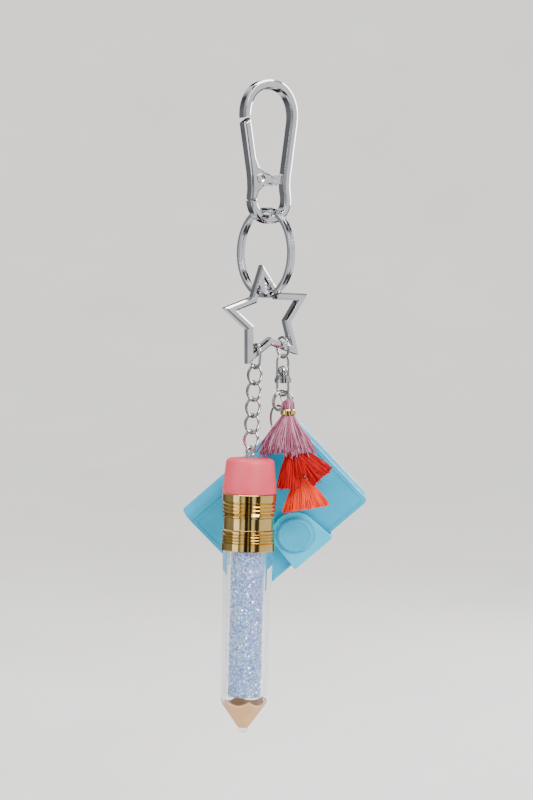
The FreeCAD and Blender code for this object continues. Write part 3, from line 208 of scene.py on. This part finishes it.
def shade(tree, shader, factor, *colours, socket="Base Color", low=0.3, high=0.7):
    """Runs a factor through a ramp of colours into the shader."""
    ramp = tree.nodes.new("ShaderNodeValToRGB")
    elements = ramp.color_ramp.elements
    count = len(colours)
    elements[0].position = low
    elements[0].color = (*colours[0], 1)
    elements[1].position = high
    elements[1].color = (*colours[-1], 1)
    for index, colour in enumerate(colours[1:-1], start=1):
        element = elements.new(low + (high - low) * index / (count - 1))
        element.color = (*colour, 1)
    tree.links.new(factor, ramp.inputs[0])
    tree.links.new(ramp.outputs[0], shader.inputs[socket])


def vary_roughness(tree, shader, factor, low, high):
    limits = tree.nodes.new("ShaderNodeMapRange")
    limits.inputs["From Min"].default_value = 0.3
    limits.inputs["From Max"].default_value = 0.7
    limits.inputs["To Min"].default_value = low
    limits.inputs["To Max"].default_value = high
    tree.links.new(factor, limits.inputs["Value"])
    tree.links.new(limits.outputs[0], shader.inputs["Roughness"])


def bump(tree, shader, height, strength, distance_mm):
    node = tree.nodes.new("ShaderNodeBump")
    node.inputs["Strength"].default_value = strength
    node.inputs["Distance"].default_value = distance_mm * MM
    tree.links.new(height, node.inputs["Height"])
    old = shader.inputs["Normal"].links
    if old:
        tree.links.new(old[0].from_socket, node.inputs["Normal"])
    tree.links.new(node.outputs["Normal"], shader.inputs["Normal"])


def metal(name, dark, light, low, high):
    """Plated metal: faint cloudiness, fine hairlines and small dings."""
    paint, tree, shader = new_material(name, 0.1, metallic=1.0)
    shade(tree, shader, tree_noise(tree, 140, 5), dark, light)
    vary_roughness(tree, shader, tree_noise(tree, 420, 6), low, high)
    bump(tree, shader, tree_noise(tree, 900, 4, (6, 6, 0.5)), 0.10, 0.012)
    bump(tree, shader, tree_noise(tree, 260, 2), 0.12, 0.05)
    return paint


def moulded(name, dark, light, roughness, grain=2600, mottle=180, **sockets):
    """Moulded plastic: slight mottling and a fine grain."""
    paint, tree, shader = new_material(name, roughness, **sockets)
    shade(tree, shader, tree_noise(tree, mottle, 5), dark, light)
    vary_roughness(tree, shader, tree_noise(tree, mottle * 3, 4), roughness * 0.8, roughness * 1.25)
    bump(tree, shader, tree_noise(tree, grain, 3), 0.35, 0.03)
    return paint


def vinyl(name, dark, light, roughness=0.42):
    """Soft coated vinyl: pebbled leather grain in cells of about half a millimetre."""
    paint, tree, shader = new_material(name, roughness, Specular_IOR_Level=0.3)
    shade(tree, shader, tree_noise(tree, 90, 6), dark, light)
    vary_roughness(tree, shader, tree_noise(tree, 700, 4), roughness * 0.8, roughness * 1.2)
    bump(tree, shader, tree_voronoi(tree, 1900), 0.30, 0.06)
    bump(tree, shader, tree_noise(tree, 5200, 3), 0.25, 0.02)
    return paint


def thread(name, *tones):
    """Spun thread: every strand has its own tone, with fibres along it and a soft sheen."""
    paint, tree, shader = new_material(name, 0.70, Specular_IOR_Level=0.18)
    geometry = tree.nodes.new("ShaderNodeNewGeometry")
    mix = tree.nodes.new("ShaderNodeMath")
    mix.operation = "MULTIPLY_ADD"
    mix.inputs[1].default_value = 0.35
    tree.links.new(tree_noise(tree, 1500, 4, (1, 1, 0.25)), mix.inputs[0])
    half = tree.nodes.new("ShaderNodeMath")
    half.operation = "MULTIPLY"
    half.inputs[1].default_value = 0.65
    tree.links.new(geometry.outputs["Random Per Island"], half.inputs[0])
    tree.links.new(half.outputs[0], mix.inputs[2])
    shade(tree, shader, mix.outputs[0], *tones, low=0.12, high=0.85)
    bump(tree, shader, tree_noise(tree, 5000, 3, (1, 1, 0.2)), 0.5, 0.04)
    return paint


def clear(name, tint, roughness):
    """Clear acrylic: faint flow lines from moulding and a polished coat."""
    paint, tree, shader = new_material(name, roughness, IOR=1.05, Transmission_Weight=1.0,
                                       Coat_Weight=1.0, Coat_Roughness=0.03, Coat_IOR=1.5)
    shade(tree, shader, tree_noise(tree, 60, 3), tint, (0.985, 0.985, 1.0))
    bump(tree, shader, tree_noise(tree, 160, 3, (1, 1, 0.35)), 0.12, 0.08)
    return paint


def glitter(name):
    """Holographic flakes: every flake has its own colour."""
    roughness = 0.16
    paint, tree, shader = new_material(name, roughness, metallic=0.75, Coat_Weight=0.6)
    geometry = tree.nodes.new("ShaderNodeNewGeometry")
    shade(tree, shader, geometry.outputs["Random Per Island"],
          (0.20, 0.36, 0.78), (0.48, 0.74, 0.95), (0.34, 0.40, 0.86), (0.90, 0.97, 1.0),
          (0.22, 0.74, 0.74), (0.50, 0.42, 0.90), (0.86, 0.90, 0.50), (0.62, 0.80, 1.0),
          (0.22, 0.10, 0.72), (0.55, 0.86, 0.92), low=0.0, high=1.0)
    vary_roughness(tree, shader, tree_noise(tree, 3000, 2), roughness * 0.6, roughness * 1.6)
    return paint


def glitter_body(name):
    """The dense mass of flakes seen through the liquid: small facets of many colours."""
    paint, tree, shader = new_material(name, 0.3, metallic=0.35, Coat_Weight=0.3)
    cells = tree_voronoi(tree, 1500, "Color")
    split = tree.nodes.new("ShaderNodeSeparateColor")
    tree.links.new(cells, split.inputs[0])
    shade(tree, shader, split.outputs[0], (0.08, 0.20, 0.46), (0.26, 0.44, 0.74),
          (0.18, 0.24, 0.60), (0.48, 0.70, 0.88), (0.12, 0.40, 0.58), (0.34, 0.36, 0.76),
          low=0.05, high=0.95)
    bump(tree, shader, split.outputs[1], 0.9, 0.12)
    return paint


# ---------------------------------------------------------------- mesh tools

def mesh_from(name, points, faces):
    mesh = bpy.data.meshes.new(name)
    mesh.from_pydata(points, [], faces)
    mesh.update()
    return mesh


def finish_mesh(name, mesh, paint, angle=38):
    mesh.materials.clear()
    mesh.materials.append(paint)
    mesh.shade_smooth()
    mesh.set_sharp_from_angle(angle=math.radians(angle))
    obj = bpy.data.objects.new(name, mesh)
    SCENE.collection.objects.link(obj)
    return obj


def softened(name, node, width_mm, paint, segments=3, tip_mm=0.0):
    """A copy of a CAD solid with its edges rounded over, which stands for it."""
    flat_angle, sharp_angle, tip_angle = math.radians(2), math.radians(30), math.radians(100)
    work = bmesh.new()
    work.from_mesh(NODES[node].data)
    bmesh.ops.remove_doubles(work, verts=work.verts, dist=WELD)
    bmesh.ops.dissolve_limit(work, angle_limit=flat_angle, verts=work.verts, edges=work.edges)
    if tip_mm:
        tips = [edge for edge in work.edges
                if edge.is_manifold and edge.calc_face_angle_signed() > tip_angle]
        bmesh.ops.bevel(work, geom=tips, offset=tip_mm * MM, offset_type="OFFSET", segments=4,
                        profile=0.5, affect="EDGES", clamp_overlap=True)
    mesh = bpy.data.meshes.new(name)
    work.to_mesh(mesh)
    work.free()
    obj = bpy.data.objects.new(name + "Work", mesh)
    SCENE.collection.objects.link(obj)
    bevel = obj.modifiers.new("Edges", "BEVEL")
    bevel.width = width_mm * MM
    bevel.segments = segments
    bevel.limit_method = "ANGLE"
    bevel.angle_limit = sharp_angle
    even = obj.modifiers.new("Even", "WEIGHTED_NORMAL")
    even.keep_sharp = True
    mesh.shade_smooth()
    graph = bpy.context.evaluated_depsgraph_get()
    made = bpy.data.meshes.new_from_object(obj.evaluated_get(graph))
    made.name = name
    bpy.data.objects.remove(obj)
    made.materials.clear()
    made.materials.append(paint)
    piece = bpy.data.objects.new(name, made)
    SCENE.collection.objects.link(piece)
    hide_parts(node)
    return piece


class Tubes:
    """Collects many thin closed tubes in one mesh. Paths and radii are in metres."""

    def __init__(self):
        self.points = []
        self.faces = []

    def add(self, path, radii, sides=4, turn=0.0):
        """A capped tube along an open path, with one radius or one for each point."""
        base = len(self.points)
        count = len(path)
        tangent = (path[1] - path[0]).normalized()
        across = tangent.orthogonal().normalized()
        for index, point in enumerate(path):
            ahead = path[min(index + 1, count - 1)] - path[max(index - 1, 0)]
            new_tangent = ahead.normalized()
            across = (across - new_tangent * across.dot(new_tangent)).normalized()
            up = new_tangent.cross(across)
            radius = radii[index] if isinstance(radii, (list, tuple)) else radii
            for side in range(sides):
                angle = turn + 2 * math.pi * side / sides
                self.points.append(point + (across * math.cos(angle) + up * math.sin(angle)) * radius)
        for index in range(count - 1):
            for side in range(sides):
                a = base + index * sides + side
                b = base + index * sides + (side + 1) % sides
                self.faces.append((a, b, b + sides, a + sides))
        self.faces.append(tuple(base + side for side in reversed(range(sides))))
        last = base + (count - 1) * sides
        self.faces.append(tuple(last + side for side in range(sides)))

    def ring(self, path, radius):
        """A tube round a closed path."""
        sides = 6
        base = len(self.points)
        count = len(path)
        for index, point in enumerate(path):
            tangent = (path[(index + 1) % count] - path[index - 1]).normalized()
            across = tangent.cross(Vector((0, 0, 1)))
            across = across.normalized() if across.length > 1e-6 else tangent.orthogonal().normalized()
            up = tangent.cross(across)
            for side in range(sides):
                angle = 2 * math.pi * side / sides
                self.points.append(point + (across * math.cos(angle) + up * math.sin(angle)) * radius)
        for index in range(count):
            for side in range(sides):
                a = base + index * sides + side
                b = base + index * sides + (side + 1) % sides
                c = base + ((index + 1) % count) * sides + (side + 1) % sides
                d = base + ((index + 1) % count) * sides + side
                self.faces.append((a, b, c, d))

    def build(self, name, paint):
        return finish_mesh(name, mesh_from(name, self.points, self.faces), paint, 60)


def foot_of(node):
    low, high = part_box(node)
    return Vector(((low.x + high.x) / 2, (low.y + high.y) / 2, low.z))


def head_of(node):
    low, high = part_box(node)
    return Vector(((low.x + high.x) / 2, (low.y + high.y) / 2, high.z))


# ---------------------------------------------------------------- metalwork and pencil

def dress_cad():
    """CAD nodes whose shape is right keep it, and get smooth shading and a real material."""
    chrome = metal("Chrome", (0.70, 0.71, 0.73), (0.86, 0.86, 0.88), 0.03, 0.09)
    nickel = metal("NickelWire", (0.46, 0.45, 0.44), (0.66, 0.65, 0.64), 0.08, 0.18)
    gold = metal("GoldPlate", (0.72, 0.47, 0.13), (0.90, 0.66, 0.25), 0.05, 0.12)
    rubber = moulded("PinkEraser", (0.58, 0.045, 0.075), (0.70, 0.07, 0.11), 0.42, mottle=70,
                     Subsurface_Weight=0.12, Subsurface_Scale=0.002)
    wood = moulded("TanCone", (0.55, 0.30, 0.14), (0.66, 0.39, 0.20), 0.40, mottle=150)
    acrylic = clear("ClearAcrylic", (0.93, 0.94, 1.0), 0.02)
    stopper = moulded("Stopper", (0.75, 0.77, 0.80), (0.88, 0.90, 0.92), 0.3)
    snap = moulded("SnapPlastic", (0.0, 0.37, 0.60), (0.0, 0.45, 0.70), 0.42, grain=1500)
    paints = {
        "chrome": chrome, "nickel_wire": nickel, "gold_ferrule": gold, "pink_eraser": rubber,
        "wood_tan": wood, "clear_plastic": acrylic, "snap_plastic": snap,
    }
    slots = {part["node"]: part["material_slot"] for part in frame["record"]["subparts"]}
    for node, obj in NODES.items():
        paint = stopper if node == "tube_stopper" else paints.get(slots[node])
        if paint is None:
            continue
        obj.data.materials.clear()
        obj.data.materials.append(paint)
        obj.data.shade_smooth()
        weld = obj.modifiers.new("Weld", "WELD")
        weld.merge_threshold = WELD
        crease = obj.modifiers.new("Creases", "EDGE_SPLIT")
        crease.split_angle = math.radians(32)
    round_metal(chrome, snap)


def round_metal(chrome, snap):
    """The cast and stamped pieces again, with their edges tumbled round as plating leaves them."""
    for node, width, tip in (("star_frame", 0.45, 1.2), ("star_gate", 0.35, 0.0),
                             ("carabiner_body", 0.40, 0.0), ("carabiner_gate", 0.35, 0.0),
                             ("split_ring", 0.22, 0.0)):
        piece = softened(node + "_plated", node, width, chrome, 4, tip)
        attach(piece, BODY_OF[node])
    cap = softened("snap_cap_moulded", "snap_cap", 0.40, snap, 4)
    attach(cap, BODY_OF["snap_cap"])


def make_glitter():
    """The liquid's column: a lumpy dense core with loose holographic flakes round it."""
    seed = random.Random(11)
    low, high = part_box("glitter_fluid")
    axis = (foot_of("pencil_nib") - head_of("ferrule")).normalized()
    across = axis.orthogonal().normalized()
    side = axis.cross(across)
    length = (high.z - low.z) / abs(axis.z) - 0.0004
    start = (low + high) / 2 - axis * (length / 2)
    glitter_core(seed, start, axis, across, side, length)
    glitter_flakes(seed, start, axis, across, side, length)


def glitter_core(seed, start, axis, across, side, length):
    """The dense lumpy column, closed at both ends."""
    radius = 0.00560
    rings, spokes = 90, 48
    points, faces = [], []
    for ring in range(rings + 1):
        for spoke in range(spokes):
            angle = 2 * math.pi * spoke / spokes
            reach = radius * (1 + seed.uniform(-0.04, 0.02))
            along = length * ring / rings + seed.uniform(-0.00018, 0.00018) * (0 < ring < rings)
            points.append(start + axis * along
                          + (across * math.cos(angle) + side * math.sin(angle)) * reach)
    for ring in range(rings):
        for spoke in range(spokes):
            a = ring * spokes + spoke
            b = ring * spokes + (spoke + 1) % spokes
            faces.append((a, b, b + spokes, a + spokes))
    faces.append(tuple(reversed(range(spokes))))
    faces.append(tuple(rings * spokes + spoke for spoke in range(spokes)))
    core = finish_mesh("glitter_core", mesh_from("GlitterCore", points, faces),
                       glitter_body("GlitterMass"), 10)
    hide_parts("glitter_fluid")
    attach(core, "pencil")


def glitter_flakes(seed, start, axis, across, side, length):
    """Thin six-sided flakes round the column, each at its own tilt."""
    count, half_thickness, corners = 5200, 0.000015, 6
    nearest, spread = 0.00566, 0.00020
    flakes, shapes = [], []
    for _ in range(count):
        angle = seed.uniform(0, 2 * math.pi)
        reach = nearest + spread * seed.random() ** 0.6
        size = 0.00016 + 0.00022 * seed.random() ** 2
        inset = size + 0.0001
        along = seed.uniform(inset, length - inset)
        out = across * math.cos(angle) + side * math.sin(angle)
        centre = start + axis * along + out * reach
        tilt = Vector((seed.gauss(0, 0.32), seed.gauss(0, 0.32), seed.gauss(0, 0.32)))
        normal = (out + tilt).normalized()
        u = normal.orthogonal().normalized()
        v = normal.cross(u)
        turn = seed.uniform(0, math.pi)
        base = len(flakes)
        for level in (-1, 1):
            for corner in range(corners):
                a = turn + math.pi * corner / 3
                spot = centre + (u * math.cos(a) + v * math.sin(a)) * size
                flakes.append(spot + normal * (level * half_thickness))
        shapes.append(tuple(base + corner for corner in reversed(range(corners))))
        shapes.append(tuple(base + corners + corner for corner in range(corners)))
        for corner in range(corners):
            following = (corner + 1) % corners
            shapes.append((base + corner, base + following,
                           base + corners + following, base + corners + corner))
    loose = finish_mesh("glitter_flakes", mesh_from("GlitterFlakes", flakes, shapes),
                        glitter("GlitterFlakes"), 10)
    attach(loose, "pencil")


# ---------------------------------------------------------------- tassel

# Rows down a tier, in mm: height, the ellipse's centre in x and y, and its half widths in x and y.
MAUVE_ROWS = [(0, 0, 0, 2.0, 1.8), (-3.8, -0.3, -0.4, 4.6, 2.7), (-8.5, -0.5, -0.3, 7.7, 3.3),
              (-12.9, -0.3, -0.2, 9.9, 3.7)]
RED_LEFT_ROWS = [(0.6, 0.5, 0, 1.2, 1.5), (-6, -0.3, 0, 2.9, 2.0), (-13.4, -0.8, 0, 4.0, 2.1)]
RED_RIGHT_ROWS = [(0.6, -0.3, 0, 1.1, 1.5), (-5, 0, -0.1, 3.0, 2.2), (-12.2, 0.2, -0.1, 4.5, 2.4)]
RED_MIDDLE_ROWS = [(0.6, 0, 0, 1.0, 1.2), (-4.5, 0, 0, 2.0, 1.5), (-9.2, 0, 0, 2.7, 1.4)]
ORANGE_ROWS = [(0.5, 0, 0, 2.1, 1.8), (-3.6, 0.1, 0, 5.2, 2.3), (-9.4, 0.2, 0, 8.3, 2.5)]


def between(rows, share):
    """The row's values a share of the way down, eased from row to row by a Catmull-Rom curve."""
    place = share * (len(rows) - 1)
    index = min(int(place), len(rows) - 2)
    rest = place - index
    before = rows[max(index - 1, 0)]
    after = rows[min(index + 2, len(rows) - 1)]
    values = []
    for a, b, c, d in zip(before, rows[index], rows[index + 1], after):
        values.append(0.5 * (2 * b + (c - a) * rest + (2 * a - 5 * b + 4 * c - d) * rest ** 2
                             + (3 * b - a - 3 * c + d) * rest ** 3))
    return values


def skirt(name, nodes, place, rows, count, paint, seed_number, ragged, wander, inner):
    """A bunch of threads that fan out from their binding, thread by thread."""
    steps, longest = 8, 1.06
    thread_radius, end_radius = 0.17 * MM, 0.11 * MM
    seed = random.Random(seed_number)
    tubes = Tubes()
    for number in range(count):
        angle = 2 * math.pi * (number + seed.uniform(-0.6, 0.6)) / count * 7
        depth = inner + (1 - inner) * seed.random() ** 0.45
        tuft = math.sin(angle * 3 + seed_number) + 0.6 * math.sin(angle * 7 + 2 * seed_number)
        reach = 1 + seed.gauss(-0.02, ragged) + ragged * 0.8 * tuft
        phase, swing = seed.uniform(0, 6.28), seed.gauss(0, wander)
        drift = Vector((seed.gauss(0, wander), seed.gauss(0, wander * 0.6), 0))
        clump = 0.05 * math.sin(angle * 5 + seed_number)
        path = []
        for step in range(steps + 1):
            share = step / steps
            z, x, y, half_x, half_y = between(rows, min(share * min(reach, longest), 1.0))
            z *= 1 + max(reach - longest, 0) * share
            turn = angle + clump * share
            wave = swing * math.sin(phase + share * 5.0) * share
            path.append(place @ (Vector((x + half_x * depth * math.cos(turn) + wave,
                                         y + half_y * depth * math.sin(turn) + wave * 0.5, z)) * MM
                                 + drift * share ** 2 * MM))
        tubes.add(path, [thread_radius] * steps + [end_radius], 4, phase)
    piece = tubes.build(name, paint)
    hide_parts(*nodes)
    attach(piece, "tassel")
    return piece


def wound(name, node, paint):
    """A binding of thread wound round a tier's neck."""
    low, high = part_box(node)
    middle = (low + high) / 2
    tubes = Tubes()
    turns, turn_steps = 6, 20
    steps = turns * turn_steps
    path = []
    height = high.z - low.z - 0.0003
    for step in range(steps + 1):
        angle = 2 * math.pi * step / turn_steps
        swell = 0.00012 * math.sin(math.pi * step / steps)
        reach = (high.x - low.x) / 2 - 0.00030 + swell
        path.append(Vector((middle.x + reach * math.cos(angle), middle.y + reach * math.sin(angle),
                            high.z - 0.00015 - height * step / steps)))
    tubes.add(path, 0.00016, 6)
    piece = tubes.build(name, paint)
    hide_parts(node)
    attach(piece, "tassel")


def make_tassel():
    """Three tiers of threads, their bindings, the cord inside and the loop on top."""
    mauve = thread("MauveThread", (0.09, 0.018, 0.045), (0.24, 0.060, 0.115), (0.34, 0.105, 0.175),
                   (0.60, 0.34, 0.43))
    red = thread("RedThread", (0.10, 0.0, 0.0), (0.34, 0.0, 0.001), (0.62, 0.0, 0.003))
    orange = thread("OrangeThread", (0.45, 0.012, 0.004), (0.85, 0.035, 0.008), (1.0, 0.10, 0.025))
    crown = foot_of("tassel_band_gold")
    skirt("tassel_mauve", ["tassel_skirt_mauve"], Matrix.Translation(crown), MAUVE_ROWS, 760,
          mauve, 5, 0.085, 0.50, 0.25)
    red_neck, orange_neck = foot_of("tassel_binding_red"), foot_of("tassel_binding_orange")
    place = Matrix.Translation(red_neck + Vector((-0.9, 0.5, -0.05)) * MM)
    left = skirt("tassel_red_left", ["tassel_skirt_red_left"], place, RED_LEFT_ROWS, 520, red,
                 17, 0.045, 0.18, 0.15)
    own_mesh(left)
    place = Matrix.Translation(red_neck + Vector((1.6, 0, -0.5)) * MM)
    place = place @ Matrix.Rotation(math.radians(-42), 4, "Y")
    skirt("tassel_red_right", ["tassel_skirt_red_right"], place, RED_RIGHT_ROWS, 460, red,
          23, 0.050, 0.35, 0.15)
    place = Matrix.Translation(red_neck + Vector((0.9, -0.5, -0.2)) * MM)
    place = place @ Matrix.Rotation(math.radians(-16), 4, "Y")
    skirt("tassel_red_middle", [], place, RED_MIDDLE_ROWS, 200, red, 29, 0.05, 0.25,
          0.0)
    place = Matrix.Translation(orange_neck + Vector((0, 0, -0.45)) * MM)
    place = place @ Matrix.Rotation(math.radians(-9), 4, "Y")
    skirt("tassel_orange", ["tassel_skirt_orange"], place, ORANGE_ROWS, 620, orange,
          31, 0.040, 0.3, 0.15)
    wound("tassel_winding_red", "tassel_binding_red", red)
    wound("tassel_winding_orange", "tassel_binding_orange", orange)
    cord_strands(mauve, red_neck, orange_neck, crown)
    head_loops(mauve)


def cord_strands(paint, red_neck, orange_neck, crown):
    """The two-ply cord that the lower tiers hang on."""
    span_steps, twist_step = 24, 0.75
    stops = [crown + Vector((1.3, -0.1, -9.0)) * MM, red_neck + Vector((0, 0, 0.6)) * MM,
             orange_neck + Vector((0, 0, 0.6)) * MM]
    path = []
    for start, end in zip(stops, stops[1:]):
        path += [start.lerp(end, step / span_steps) for step in range(span_steps)]
    path.append(stops[-1])
    tubes = Tubes()
    for strand in range(2):
        twisted = []
        for index, point in enumerate(path):
            angle = index * twist_step + math.pi * strand
            twisted.append(point + Vector((math.cos(angle), math.sin(angle), 0)) * 0.00030)
        tubes.add(twisted, 0.00034, 6)
    piece = tubes.build("tassel_cord_ply", paint)
    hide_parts("tassel_cord")
    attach(piece, "tassel")


def head_loops(paint):
    """The threads that go up out of the gold band, over the ring's wire, and down again."""
    seed = random.Random(3)
    top = head_of("tassel_head_loop")
    band_top = head_of("tassel_band_gold").z
    tubes = Tubes()
    steps, yaw = 14, math.radians(130)
    across = Vector((math.cos(yaw), math.sin(yaw), 0))
    along = Vector((-across.y, across.x, 0))
    loops, half_spread = 56, 0.0019
    for _ in range(loops):
        spread = max(-half_spread, min(half_spread, seed.gauss(0, 0.0011)))
        lift = seed.uniform(-0.0006, 0.0002) - 120 * spread ** 2
        width = 0.00088 + seed.uniform(-0.0002, 0.0003)
        path = []
        for step in range(steps + 1):
            angle = math.pi * step / steps
            height = band_top - 0.0012
            if 0 < step < steps:
                height = top.z - 0.0015 + lift + 0.0014 * math.sin(angle)
            bow = width * math.cos(angle) * (1.0 if 0 < step < steps else 1.35)
            path.append(Vector((top.x, top.y, height)) + across * bow + along * spread)
        smooth = [path[0]]
        for a, b in zip(path, path[1:]):
            smooth += [a.lerp(b, 0.5), b]
        tubes.add(smooth, 0.00015, 5)
    piece = tubes.build("tassel_head_threads", paint)
    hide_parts("tassel_head_loop")
    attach(piece, "tassel")


# ---------------------------------------------------------------- album

# The album's own frame, in mm: x to the fore-edge, y from the front cover to the back, z up.
SPINE_X, SPINE_Y = -15.65, 3.65
SPINE_LINE = Vector((SPINE_X, SPINE_Y, 0.0)) * MM
FORE_EDGE_X, STRAP_BACK_Y, STRAP_Z = 20.8, 8.6, -1.0
TURN = Matrix.Rotation(math.radians(15.0), 4, "X") @ Matrix.Rotation(math.radians(47.7), 4, "Y")
HINGE = Vector(JOINTS["album_cover_open"]["pos_m"])
ALBUM = Matrix.Translation(HINGE - (TURN @ SPINE_LINE)) @ TURN


def album_point(x, y, z):
    return ALBUM @ (Vector((x, y, z)) * MM)


def rounded_loop(corners, radius):
    """Points round a polygon in the album's plane with its corners rounded."""
    steps, longest_gap = 6, 1.2
    loop = []
    count = len(corners)
    for index, corner in enumerate(corners):
        here = Vector(corner)
        before = (Vector(corners[index - 1]) - here).normalized()
        after = (Vector(corners[(index + 1) % count]) - here).normalized()
        half = before.angle(after) / 2
        reach = radius / math.tan(half)
        centre = here + (before + after).normalized() * (radius / math.sin(half))
        first, last = here + before * reach - centre, here + after * reach - centre
        for step in range(steps + 1):
            spot = first.lerp(last, step / steps).normalized() * radius + centre
            loop.append(spot)
    dense = []
    for index, spot in enumerate(loop):
        following = loop[(index + 1) % len(loop)]
        gap = (following - spot).length
        parts = max(1, int(gap / longest_gap))
        dense += [spot.lerp(following, part / parts) for part in range(parts)]
    return dense


def welt(name, corners, depth, paint, body):
    """The raised heat-sealed line just inside a cover's edge."""
    corner_radius, thickness = 1.4, 0.22
    tubes = Tubes()
    path = [album_point(spot.x, depth, spot.y) for spot in rounded_loop(corners, corner_radius)]
    tubes.ring(path, thickness * MM)
    piece = tubes.build(name, paint)
    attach(piece, body)


def make_album():
    """Covers, welts, sleeves, spine and strap, each over its CAD node."""
    cover = vinyl("AlbumVinyl", (0.0, 0.30, 0.50), (0.004, 0.38, 0.62))
    strap = vinyl("StrapVinyl", (0.02, 0.46, 0.70), (0.04, 0.55, 0.80), 0.38)
    sleeve, tree, shader = new_material("ClearSleeve", 0.28, Alpha=0.86, Sheen_Weight=0.1)
    shade(tree, shader, tree_noise(tree, 1600, 6), (0.10, 0.42, 0.62), (0.42, 0.66, 0.80),
          (0.16, 0.50, 0.68), (0.66, 0.82, 0.90), low=0.36, high=0.66)
    bump(tree, shader, tree_noise(tree, 1200, 4), 0.5, 0.10)
    front = softened("front_cover_vinyl", "album_front_cover", 0.45, cover)
    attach(front, "album")
    lining = vinyl("LiningVinyl", (0.10, 0.46, 0.66), (0.30, 0.64, 0.80))
    back = softened("back_cover_vinyl", "album_back_cover", 0.45, lining)
    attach(back, "album_back")
    edge, spine, top = 18.7, -14.2, 24.2
    face = [(spine, -top), (edge, -top), (edge, top), (spine, top)]
    welt("album_welt_front", face, -0.66, cover, "album")
    welt("album_welt_inside", face, 0.66, cover, "album")
    welt("album_welt_back", face, 7.96, cover, "album_back")
    for number in range(1, 6):
        leaf = softened(f"sleeve_{number}", f"album_page_{number}", 0.16, sleeve,
                        2)
        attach(leaf, "album_pages")
    make_spine(cover)
    band = softened("strap_vinyl", "album_strap", 0.42, strap, 4)
    slice_wall(band)
    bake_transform(band)
    tail = softened("strap_tail_vinyl", "album_strap_tail", 0.35, strap)
    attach(tail, "album_back")
    strap_rim(strap)


def slice_wall(band):
    """Cuts rows of edges across the strap where it goes round the fore-edge."""
    work = bmesh.new()
    work.from_mesh(band.data)
    rows, pitch = 14, 0.34
    for row in range(rows):
        geometry = work.verts[:] + work.edges[:] + work.faces[:]
        bmesh.ops.bisect_plane(work, geom=geometry, dist=1e-7,
                               plane_co=album_point(FORE_EDGE_X, STRAP_BACK_Y - pitch * row, 0),
                               plane_no=TURN @ Vector((0, 1, 0)))
    work.to_mesh(band.data)
    work.free()
    band.data.shade_smooth()
    band.data.set_sharp_from_angle(angle=math.radians(38))


def strap_rim(paint):
    """The pressed rim round the snap, on the strap's round end."""
    snap_x, strap_face_y, steps = 11.4, -3.60, 72
    tubes = Tubes()
    for radius, thick in ((7.15, 0.20), (6.75, 0.14)):
        path = []
        for step in range(steps):
            angle = 2 * math.pi * step / steps
            path.append(album_point(snap_x + radius * math.cos(angle), strap_face_y,
                                    STRAP_Z + radius * math.sin(angle)))
        tubes.ring(path, thick * MM)
    piece = tubes.build("album_strap_rim", paint)
    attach(piece, "strap")


def make_spine(paint):
    """The soft half-round spine between the covers."""
    outer, inner = 4.35, 3.15
    foot, head = -25.45, 13.4
    around, along = 26, 34
    angles = [math.radians(90 + 180 * step / around) for step in range(around + 1)]
    section = [(angle, outer) for angle in angles] + [(angle, inner) for angle in reversed(angles)]
    points, faces = [], []
    count = len(section)
    for row in range(along + 1):
        z = foot + (head - foot) * row / along
        pinch = 0.10 if row in (0, along) else 0.0
        for angle, radius in section:
            crease = 0.05 * math.sin(z * 1.9 + 3 * math.sin(z * 0.37)) * abs(math.cos(angle))
            reach = radius + crease - (pinch if radius == outer else -pinch)
            points.append(album_point(SPINE_X + reach * math.cos(angle),
                                      SPINE_Y + reach * math.sin(angle), z))
    for row in range(along):
        for index in range(count):
            a = row * count + index
            b = row * count + (index + 1) % count
            faces.append((a, b, b + count, a + count))
    for row in (0, along):
        for index in range(around):
            a = row * count + index
            b = row * count + index + 1
            c = row * count + count - 2 - index
            d = row * count + count - 1 - index
            faces.append((a, d, c, b) if row == 0 else (a, b, c, d))
    piece = finish_mesh("album_spine_wrap", mesh_from("album_spine_wrap", points, faces), paint)
    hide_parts("album_spine")
    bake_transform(piece)


# ---------------------------------------------------------------- the scene

make_camera()
make_world()
make_backdrop()
MIDDLE = (0, 0, -0.11)
make_light("Key", (0.55, -0.75, 0.45), MIDDLE, (0.6, 0.6), 15, (1.0, 0.98, 0.95))
make_light("Fill", (-0.8, -0.55, 0.05), MIDDLE, (0.5, 0.9), 2.5, (0.95, 0.97, 1.0))
make_light("Top", (0.0, 0.05, 0.75), MIDDLE, (0.7, 0.5), 7)
make_light("Back", (0.35, 0.45, 0.15), (0, 0, -0.13), (0.3, 0.5), 4)
dress_cad()
make_glitter()
make_tassel()
make_album()
